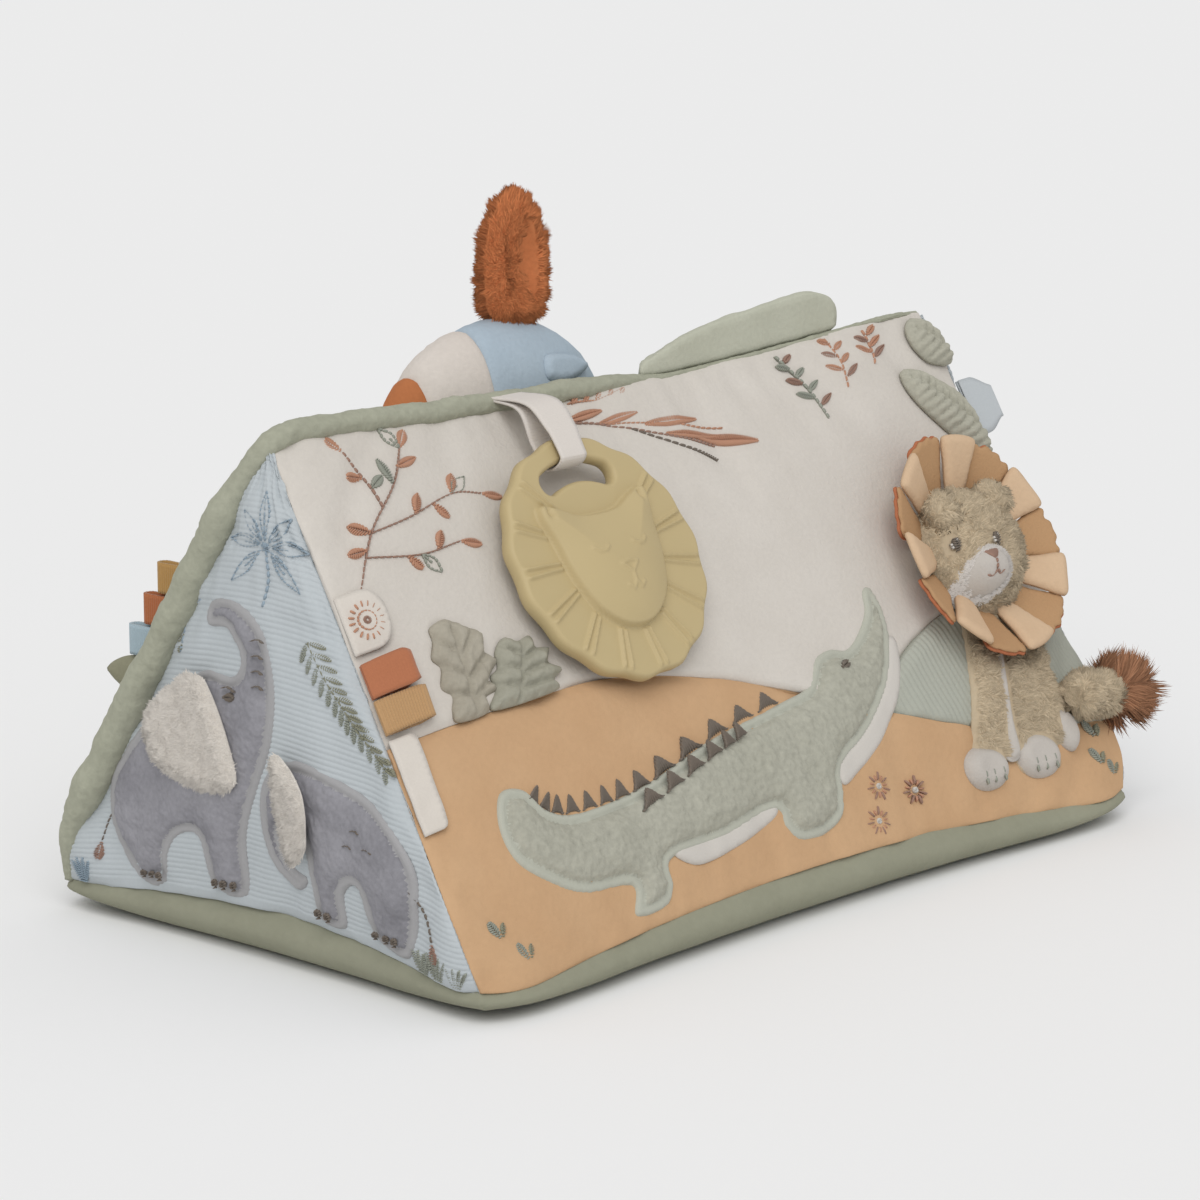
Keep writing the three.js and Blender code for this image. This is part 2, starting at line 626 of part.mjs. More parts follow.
// Lion: padded legs on the panel, a stuffed head, and a mane of loose petals round it.
const LION_EDGE = [
  [-5.2, -10.9], [-3.3, -11.1], [-2.3, -9.8], [-1.6, -11], [0.7, -11], [1.2, -9.8], [2, -9.8],
  [2, -8.4], [2.8, -5], [1.4, 0.4], [-1.4, 0.2], [-2.5, -4.6], [-3.3, -7],
];
const lionShape = outline(LION_EDGE.map((p) => squares(p, lionX, LION.y)));
piece(front.frame, "lion_body", patch(front, lionShape, GAP, LION.puff), LION_FUR);
const lion = seat(front, lionX, LION.y, 2 * GAP + LION.puff);

const headProfile = (swell) => {
  const radius = LION.headRadius + swell;
  const depth = LION.headDepth + swell;
  return [
    [0, 0],
    [radius, 0],
    [radius, depth * 0.28],
    [radius * 0.93, depth * 0.53],
    [radius * 0.74, depth * 0.8],
    [radius * 0.42, depth * 0.96],
    [0, depth],
  ];
};
piece(lion, "lion_head", standing(headProfile(0), 24), LION_FUR);
const headTool = solidOf(standing(headProfile(GAP), 24));
const onHead = (form, x, y, z) => cut(form.translate(x, y, z), headTool);
// The face looks a little towards the near end.
const MUZZLE = { width: 13, height: 11, depth: 9, x: -11, y: -10.5, z: 18 };
const LION_EAR = { radius: 8.4, depth: 6.5 };
const LION_EARS = { lion_ear_left: [-19, 16, 14], lion_ear_right: [11, 21, 15] };
const muzzleForm = ball(MUZZLE.width, MUZZLE.height, MUZZLE.depth);
piece(lion, "lion_muzzle", onHead(muzzleForm, MUZZLE.x, MUZZLE.y, MUZZLE.z), WHITE);
for (const [name, place] of Object.entries(LION_EARS)) {
  const form = ball(LION_EAR.radius, LION_EAR.radius, LION_EAR.depth);
  piece(lion, name, onHead(form, ...place), LION_FUR);
}

function manePetal(index) {
  const { petals, clear, outer, innerWidth, outerWidth, thickness } = MANE;
  const flare = THREE.MathUtils.degToRad(MANE.flare);
  const inner = LION.headRadius + clear + thickness * Math.sin(flare);
  const length = outer - inner;
  const shape = new THREE.Shape([vec2(0, -innerWidth / 2)]);
  shape.lineTo(length * 0.75, -outerWidth / 2);
  shape.quadraticCurveTo(length, -outerWidth / 2, length, 0);
  shape.quadraticCurveTo(length, outerWidth / 2, length * 0.75, outerWidth / 2);
  shape.lineTo(0, innerWidth / 2);
  const felt = extruded(shape, thickness, 3);
  const stand = new THREE.Group();
  stand.rotation.y = -flare;
  const spoke = new THREE.Group();
  spoke.rotation.z = (index / petals) * 2 * Math.PI;
  const root = new THREE.Group();
  root.position.x = inner;
  lion.add(spoke);
  spoke.add(root);
  root.add(stand);
  stand.updateWorldMatrix(true, false);
  const number = String(index + 1).padStart(2, "0");
  const petal = piece(stand, `mane_petal_${number}`, felt, index % 2 ? PEACH : TAN);
  hinge(`mane_petal_${number}_hinge`, stand, vec(0, 0, thickness), vec(0, -1, thickness), petal);
}
for (let index = 0; index < MANE.petals; index++) manePetal(index);

// Stuffed tail with its long-haired end, sewn on at the root.
const TAIL = { fromFar: 34, y: 52, radius: 10.5, length: 25, tuftRadius: 12.5, tuftLength: 28 };
function lionTail() {
  const { fromFar, y, radius, length, tuftRadius, tuftLength } = TAIL;
  const root = seat(front, LENGTH - fromFar, y, GAP + radius);
  const lying = (profile) => turned(profile, 16).rotateZ(-Math.PI / 2);
  const tail = piece(root, "lion_tail", lying([
    [0, 0],
    [radius * 0.8, radius * 0.2],
    [radius, radius],
    [radius * 0.92, length * 0.6],
    [radius * 0.8, length],
    [0, length],
  ]), LION_FUR);
  const tuft = piece(root, "lion_tail_tuft", lying([
    [0, 0],
    [radius * 0.8, 0],
    [tuftRadius, tuftLength * 0.55],
    [tuftRadius * 0.85, tuftLength * 0.8],
    [tuftRadius * 0.3, tuftLength],
    [0, tuftLength],
  ]), BROWN);
  tuft.position.x = length + GAP;
  hinge("lion_tail_hinge", root, vec(0, 0, 0), vec(0, -1, 0), tail, tuft);
}
lionTail();

// Ribbon loops: a folded band with a slit between its two plies, and round ends.
const LOOP = { ply: 0.9, slit: 1.6, clear: 0.5 };
const loopHalf = LOOP.ply + LOOP.slit / 2;

function loopGeometry(length, width) {
  const ring = (shape, radius) => {
    shape.absarc(loopHalf, 0, radius, Math.PI / 2, 1.5 * Math.PI, false);
    shape.absarc(length - loopHalf, 0, radius, 1.5 * Math.PI, 2.5 * Math.PI, false);
    return shape;
  };
  const band = ring(new THREE.Shape(), loopHalf);
  band.holes.push(ring(new THREE.Path(), LOOP.slit / 2));
  return extruded(band, width, 5);
}

// Places a loop by its root, the way it points, the way its width runs and its thickness.
function loop(name, frame, colour, { root, along, thick, wide, length, width }) {
  const basis = new THREE.Matrix4().makeBasis(along, thick, wide);
  const start = root.clone().addScaledVector(wide, -width / 2);
  const band = loopGeometry(length, width).applyMatrix4(basis.setPosition(start));
  const mesh = piece(frame, name, band, colour);
  const pivot = root.clone().addScaledVector(along, loopHalf);
  hinge(`${name}_hinge`, frame, pivot, pivot.clone().add(wide), mesh);
}

// Tags in the near front seam: a square label, two ribbon loops and a pale label.
const TAG = { in: 2.5, label: 1.2, labelClear: 0.85 };
const SUN_LABEL = { y: 170, width: 26, length: 25 };
const RUST_LOOP = { y: 145, width: 15, length: 29 };
const MUSTARD_LOOP = { y: 129, width: 15, length: 31 };
const BLANK_LABEL = { y: 98, width: 42, length: 16 };

function seamLoop(name, { y, width, length }, colour) {
  const lift = loopHalf + LOOP.clear;
  const root = front.on(TAG.in, y, lift);
  const along = front.on(TAG.in + length, y, lift).sub(root).normalize();
  const wide = AXIS_Y.clone().negate();
  loop(name, front.frame, colour, { root, along, thick: wide.clone().cross(along), wide, length, width });
}
function seamLabel(name, { y, width, length }, colour) {
  const [low, high] = [y - width / 2, y + width / 2];
  const end = TAG.in + length;
  const shape = new THREE.Shape([vec2(TAG.in, low), vec2(end, low), vec2(end, high), vec2(TAG.in, high)]);
  const label = piece(front.frame, name, patch(front, shape, TAG.labelClear, TAG.label), colour);
  const lift = TAG.labelClear + TAG.label / 2;
  hinge(`${name}_hinge`, front.frame, front.on(TAG.in, high, lift), front.on(TAG.in, low, lift), label);
}
seamLabel("sun_label", SUN_LABEL, WHITE);
seamLoop("rust_loop", RUST_LOOP, RUST);
seamLoop("mustard_loop", MUSTARD_LOOP, MUSTARD);
seamLabel("blank_label", BLANK_LABEL, WHITE);

// Far end of the front: two leaves sewn into the seam, and a pale blue loop standing out of it.
const FAR_LEAF = { in: 3, thickness: 4, clear: 0.6 };
const FAR_UPPER = {
  belowRidge: 36,
  height: 14,
  edge: [[-0.7, 2.4], [-1.7, 2.5], [-2.5, 1.9], [-2.5, 0.9], [-1.6, 0.1]],
};
const FAR_LOWER = {
  belowRidge: 84,
  height: 18,
  edge: [[-1, 3.1], [-2.6, 4.1], [-4.1, 4.4], [-4.1, 3.4], [-2.8, 1.4], [-1.2, 0.2]],
};
function farLeaf(name, { belowRidge, height, edge }) {
  const x = LENGTH - FAR_LEAF.in;
  const y = SLOPE - belowRidge;
  const shape = flapShape(vec2(x, y), vec2(x, y + height), edge.map((p) => squares(p, x, y)));
  const leaf = piece(front.frame, name, patch(front, shape, FAR_LEAF.clear, FAR_LEAF.thickness), SAGE);
  const middle = FAR_LEAF.clear + FAR_LEAF.thickness / 2;
  hinge(`${name}_hinge`, front.frame, front.on(x, y, middle), front.on(x, y + height, middle), leaf);
}
farLeaf("far_leaf_upper", FAR_UPPER);
farLeaf("far_leaf_lower", FAR_LOWER);

const FAR_LOOP = { belowRidge: 58, length: 19, width: 22, lift: 1.2 };
loop("far_blue_loop", front.frame, PALE_BLUE, {
  root: front.on(LENGTH, SLOPE - FAR_LOOP.belowRidge).add(vec(LOOP.clear, 0, FAR_LOOP.lift)),
  along: AXIS_X.clone(),
  thick: AXIS_Z.clone().negate(),
  wide: AXIS_Y.clone(),
  length: FAR_LOOP.length,
  width: FAR_LOOP.width,
});

// Behind the ridge: a stuffed bird in three colours with a crest, seated on the back panel.
const BIRD = {
  x: -44,
  behind: 38,
  belowRidge: 33,
  length: 73,
  depth: 26,
  height: 57,
  beak: 20, // from its tip, along the bird
  face: 55,
};
const CREST = { x: -29, width: 40, height: 60, thickness: 14 };
const ridgeHeight = SEAM_LIFT + RISE;

function bird() {
  const { x, behind, belowRidge, length, depth, height, beak, face } = BIRD;
  const tip = x - length;
  const egg = new THREE.SphereGeometry(1, 24, 14).scale(length, depth, height);
  egg.translate(x, behind, ridgeHeight - belowRidge);
  const form = solidOf(egg).subtract(solidOf(wedge(-GAP)));
  const slice = (from, to) => {
    const box = new THREE.BoxGeometry(to - from, 4 * depth, 4 * height);
    return geometryOf(form.intersect(solidOf(box.translate((from + to) / 2, behind, ridgeHeight))));
  };
  piece(triangle, "bird_beak", slice(tip - length, tip + beak - GAP / 2), RUST);
  piece(triangle, "bird_face", slice(tip + beak + GAP / 2, tip + face - GAP / 2), CREAM);
  piece(triangle, "bird_body", slice(tip + face + GAP / 2, x + 2 * length), BIRD_BLUE);
}
bird();

// The crest has a round lower edge, so that it can bend to and fro on the bird's back.
function crest() {
  const { x, width, height, thickness } = CREST;
  const half = thickness / 2;
  const side = new THREE.Shape();
  side.absarc(0, half, half, Math.PI, 2 * Math.PI, false);
  side.quadraticCurveTo(half, height * 0.7, half * 0.3, height);
  side.lineTo(-half * 0.3, height);
  side.quadraticCurveTo(-half, height * 0.7, -half, half);
  const edge = [[0.5, 0.3], [0.42, 0.6], [0.22, 0.85], [0, 1], [-0.26, 0.9], [-0.46, 0.66], [-0.48, 0.3]];
  const foot = width * 0.36;
  const face = flapShape(vec2(-foot, 0), vec2(foot, 0), edge.map(([a, b]) => vec2(a * width, b * height)));
  const across = extruded(side, 2 * width);
  across.translate(0, 0, -width).applyMatrix4(new THREE.Matrix4().makeBasis(AXIS_Y, AXIS_Z, AXIS_X));
  const through = extruded(face, 2 * width);
  through.translate(0, 0, -width).rotateX(Math.PI / 2);
  const stand = new THREE.Group();
  stand.position.set(x, BIRD.behind, ridgeHeight - BIRD.belowRidge + BIRD.height + GAP);
  triangle.add(stand);
  stand.updateWorldMatrix(true, false);
  const plume = piece(stand, "bird_crest", common(across, through), RUST);
  hinge("bird_crest_hinge", stand, vec(0, 0, half), vec(1, 0, half), plume);
}
crest();

// A padded leaf behind the ridge, sewn to the back by its lower edge.
const RIDGE_LEAF = { x: 88, width: 136, sewn: 84, below: 34, above: 14, thickness: 12 };
function ridgeLeaf() {
  const { width, sewn, below, above, thickness } = RIDGE_LEAF;
  const middle = FAR - RIDGE_LEAF.x;
  const y = SLOPE - below;
  const [left, right] = [middle - sewn / 2, middle + sewn / 2];
  const edge = [
    [0.44, 0.3], [0.5, 0.62], [0.4, 0.86], [0.2, 0.97], [0, 1], [-0.24, 0.98], [-0.42, 0.88], [-0.5, 0.66],
    [-0.42, 0.3],
  ].map(([a, b]) => vec2(middle + a * width, y + b * (below + above)));
  const shape = flapShape(vec2(left, y), vec2(right, y), edge);
  const leaf = piece(back.frame, "ridge_leaf", patch(back, shape, GAP, thickness), SAGE);
  const [a, b] = [left, right].map((x) => back.on(x, y, GAP + thickness / 2));
  hinge("ridge_leaf_hinge", back.frame, a, b, leaf);
}
ridgeLeaf();

// Three loops and a small leaf stand out of the back, close to the near end.
const BACK_LOOP = { in: 15, length: 34, width: 14, apart: 1, top: 146 };
const BACK_LEAF = { in: 15, height: 99, length: 38, width: 20, thickness: 3, clear: 0.8 };
const upSlope = (height) => (height * SLOPE) / RISE;
const level = upBack.clone().negate().projectOnPlane(AXIS_Z).normalize();
const levelInBack = level.clone().applyQuaternion(back.frame.quaternion.clone().invert());
function backLoop(name, index, colour) {
  const height = BACK_LOOP.top - index * (BACK_LOOP.width + BACK_LOOP.apart);
  const place = back.on(LENGTH - BACK_LOOP.in, upSlope(height));
  loop(name, back.frame, colour, {
    root: place.add(vec(0, 0, LOOP.clear)),
    along: levelInBack.clone(),
    thick: AXIS_X.clone(),
    wide: AXIS_Y.clone(),
    length: BACK_LOOP.length,
    width: BACK_LOOP.width,
  });
}
backLoop("back_mustard_loop", 0, MUSTARD);
backLoop("back_rust_loop", 1, RUST);
backLoop("back_blue_loop", 2, PALE_BLUE);

function backLeaf() {
  const { height, length, width, thickness, clear } = BACK_LEAF;
  const half = thickness / 2;
  const shape = new THREE.Shape();
  shape.moveTo(0, -width / 4);
  shape.quadraticCurveTo(length * 0.5, -width * 0.75, length, 0);
  shape.quadraticCurveTo(length * 0.5, width * 0.75, 0, width / 4);
  const solid = extruded(shape, thickness);
  const basis = new THREE.Matrix4().makeBasis(levelInBack, AXIS_Y, AXIS_X.clone().negate());
  const root = back.on(LENGTH - BACK_LEAF.in, upSlope(height), clear);
  solid.translate(0, 0, -half).applyMatrix4(basis.setPosition(root));
  const leaf = piece(back.frame, "back_sage_leaf", solid, SAGE);
  const pivot = root.addScaledVector(levelInBack, half);
  hinge("back_sage_leaf_hinge", back.frame, pivot, pivot.clone().add(AXIS_Y), leaf);
}
backLeaf();

export default triangle;
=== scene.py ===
import math

import bpy
import numpy as np
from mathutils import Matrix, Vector
from mathutils.geometry import delaunay_2d_cdt


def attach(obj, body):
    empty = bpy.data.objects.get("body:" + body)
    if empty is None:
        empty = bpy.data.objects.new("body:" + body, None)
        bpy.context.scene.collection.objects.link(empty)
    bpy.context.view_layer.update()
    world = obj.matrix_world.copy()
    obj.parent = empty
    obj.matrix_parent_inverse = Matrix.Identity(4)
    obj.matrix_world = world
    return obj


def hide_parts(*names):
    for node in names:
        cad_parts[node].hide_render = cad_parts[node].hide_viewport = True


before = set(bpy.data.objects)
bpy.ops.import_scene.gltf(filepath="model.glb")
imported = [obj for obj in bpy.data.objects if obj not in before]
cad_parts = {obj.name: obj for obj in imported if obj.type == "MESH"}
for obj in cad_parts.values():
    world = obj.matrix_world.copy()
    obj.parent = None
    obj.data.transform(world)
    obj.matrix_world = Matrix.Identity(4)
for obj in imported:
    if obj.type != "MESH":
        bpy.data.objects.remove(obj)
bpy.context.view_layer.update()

# Studio: a wide sheet of pale paper, even light from all round and one broad soft lamp from the
# upper left, and the camera where the photograph was taken from.
VIEW_TURN = math.radians(-47.457)
VIEW_RISE = math.radians(12.723)
VIEW_DISTANCE = 2.149
VIEW_LENS = 137.3
VIEW_TARGET = Vector((-0.0099, 0.0, 0.129))
PAPER = "#efefef"
PAPER_HALF = 15.0
LAMP_FROM = Vector((-0.62, -0.55, 0.85))
LAMP_STRENGTH = 1.6
LAMP_SPREAD = math.radians(50)
AIR_STRENGTH = 0.60

scene = bpy.context.scene
scene.view_settings.view_transform = "Standard"


def linear(hex_colour):
    parts = [int(hex_colour[i:i + 2], 16) / 255 for i in (1, 3, 5)]
    return [p / 12.92 if p <= 0.04045 else ((p + 0.055) / 1.055) ** 2.4 for p in parts] + [1.0]


def mesh_object(name, points, faces, materials, face_material=None):
    mesh = bpy.data.meshes.new(name)
    faces = [np.asarray(f) for f in faces if len(f)]
    corners = np.concatenate([f.ravel() for f in faces])
    sizes = np.concatenate([np.full(len(f), f.shape[1]) for f in faces])
    mesh.vertices.add(len(points))
    mesh.vertices.foreach_set("co", np.asarray(points, np.float32).ravel())
    mesh.loops.add(len(corners))
    mesh.loops.foreach_set("vertex_index", corners.astype(np.int32))
    mesh.polygons.add(len(sizes))
    mesh.polygons.foreach_set("loop_start", (np.cumsum(sizes) - sizes).astype(np.int32))
    for material in materials:
        mesh.materials.append(material)
    if face_material is not None:
        mesh.polygons.foreach_set("material_index", np.asarray(face_material, np.int32))
    mesh.update(calc_edges=True)
    mesh.validate()
    mesh.shade_smooth()
    obj = bpy.data.objects.new(name, mesh)
    scene.collection.objects.link(obj)
    return obj


def plain(name, colour, roughness):
    material = bpy.data.materials.new(name)
    material.use_nodes = True
    shader = material.node_tree.nodes["Principled BSDF"]
    shader.inputs["Base Color"].default_value = linear(colour)
    shader.inputs["Roughness"].default_value = roughness
    return material, shader


view_back = Vector((
    math.sin(VIEW_TURN) * math.cos(VIEW_RISE),
    -math.cos(VIEW_TURN) * math.cos(VIEW_RISE),
    math.sin(VIEW_RISE),
))
camera = bpy.data.objects.new("camera", bpy.data.cameras.new("camera"))
camera.data.sensor_width = 36
camera.data.lens = VIEW_LENS
camera.location = VIEW_TARGET + view_back * VIEW_DISTANCE
camera.rotation_euler = (-view_back).to_track_quat("-Z", "Y").to_euler()
scene.collection.objects.link(camera)
scene.camera = camera

paper, paper_shader = plain("paper", PAPER, 1.0)
paper_shader.inputs["Specular IOR Level"].default_value = 0.0
paper_corners = [(-PAPER_HALF, -PAPER_HALF, 0), (PAPER_HALF, -PAPER_HALF, 0),
                 (PAPER_HALF, PAPER_HALF, 0), (-PAPER_HALF, PAPER_HALF, 0)]
mesh_object("paper_floor", np.array(paper_corners), [[(0, 1, 2, 3)]], [paper])

lamp = bpy.data.objects.new("lamp", bpy.data.lights.new("lamp", "SUN"))
lamp.data.energy = LAMP_STRENGTH
lamp.data.angle = LAMP_SPREAD
lamp.rotation_euler = LAMP_FROM.to_track_quat("Z", "Y").to_euler()
scene.collection.objects.link(lamp)
scene.world = bpy.data.worlds.new("air")
scene.world.use_nodes = True
air = scene.world.node_tree.nodes["Background"]
air.inputs["Color"].default_value = (1, 1, 1, 1)
air.inputs["Strength"].default_value = AIR_STRENGTH

# Wedge: the form that all the panels follow. Its seams are drawn in between the corners, and the wadding
# swells each panel between them, which a cloth simulation settles before anything is laid on it.
LENGTH = 0.450
BASE_WIDTH = 0.265
RISE = 0.222
SEAM_LIFT = 0.016
FOOT_CORNER = 0.009
FOOT_ARCH = 0.013
DRAW_IN = 0.004
FOOT_WAIST = 0.0085
RIDGE_SAG = 0.009
FOOT_SPREAD = 0.011
RIDGE_REACH, RIDGE_LIFT = 0.006, 0.005
CORNER_REACH = 0.044
SIDE_CROWN = 0.010
END_CROWN, FAR_CROWN = 0.008, 0.009
BASE_CROWN = 0.026
SLOPE = math.hypot(BASE_WIDTH / 2, RISE)
CENTRE_HEIGHT = SEAM_LIFT + 0.38 * RISE
CENTRE_HALF = LENGTH / 2 - BASE_WIDTH / 3
LONG_CELLS = 64
SHORT_CELLS = 36
SWELL_MOST = 0.0032
SWELL_FRAMES = 18
WADDING_PRESSURE = 2.5
CLOTH_STIFFNESS = 25
CLOTH_BENDING = 1.5
CLOTH_SPARE = -0.004
NEAR, FAR = -LENGTH / 2, LENGTH / 2


def unit(v):
    v = np.asarray(v, float)
    return v / np.maximum(np.linalg.norm(v, axis=-1, keepdims=True), 1e-12)


def inward(p):
    """The way from a point on the wedge to its middle line."""
    p = np.asarray(p, float)
    middle = np.stack([np.clip(p[..., 0], -CENTRE_HALF, CENTRE_HALF), np.zeros(p.shape[:-1]),
                       np.full(p.shape[:-1], CENTRE_HEIGHT)], -1)
    return unit(middle - p)


def seam(a, b):
    a, b = np.array(a, float), np.array(b, float)
    pull = inward((a + b) / 2) * DRAW_IN if np.any(a != b) else np.zeros(3)
    waist = np.zeros(3)
    if np.any(pull) and abs(a[2] - b[2]) < RISE / 2:
        pull[2] = FOOT_ARCH if a[2] == FOOT_CORNER else -RIDGE_SAG
        waist = unit(inward((a + b) / 2) * [1, 1, 0]) * FOOT_WAIST if a[2] == FOOT_CORNER else waist
    return lambda t: (a + (b - a) * t[..., None] + pull * np.sin(np.pi * t)[..., None]
                      + waist * (1 - np.abs(2 * t - 1) ** 3)[..., None])


def front_corner(x):
    return (x + math.copysign(FOOT_SPREAD, x), -BASE_WIDTH / 2 - FOOT_SPREAD, FOOT_CORNER)


def back_corner(x):
    return (x + math.copysign(FOOT_SPREAD, x), BASE_WIDTH / 2 + FOOT_SPREAD, FOOT_CORNER)


def ridge_corner(x):
    far_share = 1 if x > 0 else 0
    return (x + RIDGE_REACH * far_share, 0, SEAM_LIFT + RISE + RIDGE_LIFT * far_share)


CORNER_SOFT = [(front_corner(NEAR), 0.016), (front_corner(FAR), 0.015), (back_corner(NEAR), 0.016),
               (back_corner(FAR), 0.016), (ridge_corner(NEAR), 0.007), (ridge_corner(FAR), 0.007)]


def long_place(x, y):
    return x / LENGTH, y / SLOPE


def end_place(x, y):
    v = y / RISE
    return 0.5 + x / (BASE_WIDTH * np.maximum(1 - v, 0.02)), v


def base_place(x, y):
    return x / LENGTH, y / BASE_WIDTH


SIDES = {}
for side, corners, crown, origin, across, up, place in (
    ("front", (front_corner(NEAR), front_corner(FAR), ridge_corner(NEAR), ridge_corner(FAR)), SIDE_CROWN,
     (NEAR, -BASE_WIDTH / 2, SEAM_LIFT), (1, 0, 0), (0, BASE_WIDTH / 2, RISE), long_place),
    ("back", (back_corner(FAR), back_corner(NEAR), ridge_corner(FAR), ridge_corner(NEAR)), SIDE_CROWN,
     (FAR, BASE_WIDTH / 2, SEAM_LIFT), (-1, 0, 0), (0, -BASE_WIDTH / 2, RISE), long_place),
    ("base", (back_corner(NEAR), back_corner(FAR), front_corner(NEAR), front_corner(FAR)), BASE_CROWN,
     back_corner(NEAR), (1, 0, 0), (0, -1, 0), base_place),
    ("near", (back_corner(NEAR), front_corner(NEAR), ridge_corner(NEAR), ridge_corner(NEAR)), END_CROWN,
     (NEAR, 0, SEAM_LIFT), (0, -1, 0), (0, 0, 1), end_place),
    ("far", (front_corner(FAR), back_corner(FAR), ridge_corner(FAR), ridge_corner(FAR)), FAR_CROWN,
     (FAR, 0, SEAM_LIFT), (0, 1, 0), (0, 0, 1), end_place),
):
    low_left, low_right, top_left, top_right = corners
    SIDES[side] = {
        "bottom": seam(low_left, low_right), "top": seam(top_left, top_right),
        "left": seam(low_left, top_left), "right": seam(low_right, top_right),
        "corners": [np.array(c, float) for c in corners], "crown": crown,
        "origin": np.array(origin, float), "across": unit(across), "up": unit(up),
        "out": np.cross(unit(across), unit(up)), "place": place,
    }


def between_seams(side, u, v):
    """The panel stretched flat between its seams: shares u across and v up."""
    s = SIDES[side]
    u, v = np.broadcast_arrays(np.asarray(u, float), np.asarray(v, float))
    a, b = u[..., None], v[..., None]
    c00, c10, c01, c11 = s["corners"]
    p = s["bottom"](u) * (1 - b) + s["top"](u) * b + s["left"](v) * (1 - a) + s["right"](v) * a
    p = p - c00 * (1 - a) * (1 - b) - c10 * a * (1 - b) - c01 * (1 - a) * b - c11 * a * b
    for corner, soft in CORNER_SOFT:
        near_to = np.clip(1 - np.linalg.norm(p - corner, axis=-1, keepdims=True) / CORNER_REACH, 0, 1)
        p = p + inward(corner) * [1, 1, 0.6] * soft * near_to ** 2
    return p


def drawn(side, u, v):
    """The panel with its crown, before it is stuffed."""
    s = SIDES[side]
    bell = (1 - np.abs(2 * np.asarray(u) - 1) ** 3) * (1 - np.abs(2 * np.asarray(v) - 1) ** 3)
    p = between_seams(side, u, v) + s["out"] * (s["crown"] * bell)[..., None]
    p[..., 2] = np.maximum(p[..., 2], 0)
    return p


def grid_faces(rows, columns):
    index = np.arange(rows * columns).reshape(rows, columns)
    return np.stack([index[:-1, :-1], index[:-1, 1:], index[1:, 1:], index[1:, :-1]], -1).reshape(-1, 4)


panel_grids, panel_points, panel_faces, panel_sewn, first = {}, [], [], [], 0
for side in SIDES:
    columns = LONG_CELLS if side in ("front", "back", "base") else SHORT_CELLS
    u, v = np.meshgrid(np.linspace(0, 1, columns + 1), np.linspace(0, 1, SHORT_CELLS + 1))
    panel_grids[side] = np.arange(first, first + u.size).reshape(u.shape)
    panel_points.append(drawn(side, u, v).reshape(-1, 3))
    panel_faces.append(grid_faces(*u.shape) + first)
    panel_sewn.append(((u == 0) | (u == 1) | (v == 0) | (v == 1)).ravel())
    first += u.size
wedge_points = np.concatenate(panel_points)
_, wedge_kept, wedge_welded = np.unique(
    np.round(wedge_points, 6), axis=0, return_index=True, return_inverse=True)
wedge_welded = wedge_welded.ravel()
wedge_start = wedge_points[wedge_kept]
wedge_faces = wedge_welded[np.concatenate(panel_faces)]
four_sided = np.array([len(set(f)) == 4 for f in wedge_faces.tolist()])
three_sided = [list(dict.fromkeys(f)) for f in wedge_faces[~four_sided].tolist()]
wedge_faces = [wedge_faces[four_sided], np.array([f for f in three_sided if len(f) == 3])]


def stuffed(start):
    """The wedge's points after the wadding has swelled it between its seams."""
    cover = mesh_object("cover_in_sewing", start, wedge_faces, [])
    held = cover.vertex_groups.new(name="sewn")
    held.add([int(i) for i in np.unique(wedge_welded[np.concatenate(panel_sewn)])], 1.0, "REPLACE")
    cloth = cover.modifiers.new("stuffing", "CLOTH")
    cloth.settings.vertex_group_mass = "sewn"
    cloth.settings.use_pressure = True
    cloth.settings.uniform_pressure_force = WADDING_PRESSURE
    cloth.settings.tension_stiffness = CLOTH_STIFFNESS
    cloth.settings.compression_stiffness = CLOTH_STIFFNESS
    cloth.settings.bending_stiffness = CLOTH_BENDING
    cloth.settings.shrink_min = CLOTH_SPARE
    cloth.settings.effector_weights.gravity = 0
    cloth.collision_settings.use_collision = False
    for number in range(1, SWELL_FRAMES + 1):
        scene.frame_set(number)
    settled_mesh = cover.evaluated_get(bpy.context.evaluated_depsgraph_get()).data
    end = np.empty(len(start) * 3)
    settled_mesh.vertices.foreach_get("co", end)
    move = end.reshape(-1, 3) - start
    far = np.linalg.norm(move, axis=1, keepdims=True)
    scene.frame_set(1)
    bpy.data.objects.remove(cover)
    return start + move * np.minimum(1, SWELL_MOST / np.maximum(far, 1e-9))


wedge_end = stuffed(wedge_start)
COVER = {side: wedge_end[wedge_welded[index]] for side, index in panel_grids.items()}


def curve_weights(t):
    return np.stack([
        (-t + 2 * t ** 2 - t ** 3) / 2, (2 - 5 * t ** 2 + 3 * t ** 3) / 2,
        (t + 4 * t ** 2 - 3 * t ** 3) / 2, (-t ** 2 + t ** 3) / 2,
    ])


def settled(side, u, v):
    """A place on the stuffed panel, smooth between the simulation's points."""
    grid = COVER[side]
    rows, columns = grid.shape[0] - 1, grid.shape[1] - 1
    across = np.clip(u, 0, 1) * columns
    up = np.clip(v, 0, 1) * rows
    i = np.minimum(across.astype(int), columns - 1)
    j = np.minimum(up.astype(int), rows - 1)
    wu, wv = curve_weights(across - i), curve_weights(up - j)
    total = 0
    for a in range(4):
        row = np.clip(j + a - 1, 0, rows)
        for b in range(4):
            total = total + (wv[a] * wu[b])[..., None] * grid[row, np.clip(i + b - 1, 0, columns)]
    return total


def facing(side, u, v, step=0.012):
    u, v = np.clip(u, step, 1 - step), np.clip(v, step, 1 - step)
    across = settled(side, u + step, v) - settled(side, u - step, v)
    up = settled(side, u, v + step) - settled(side, u, v - step)
    return unit(np.cross(across, up))


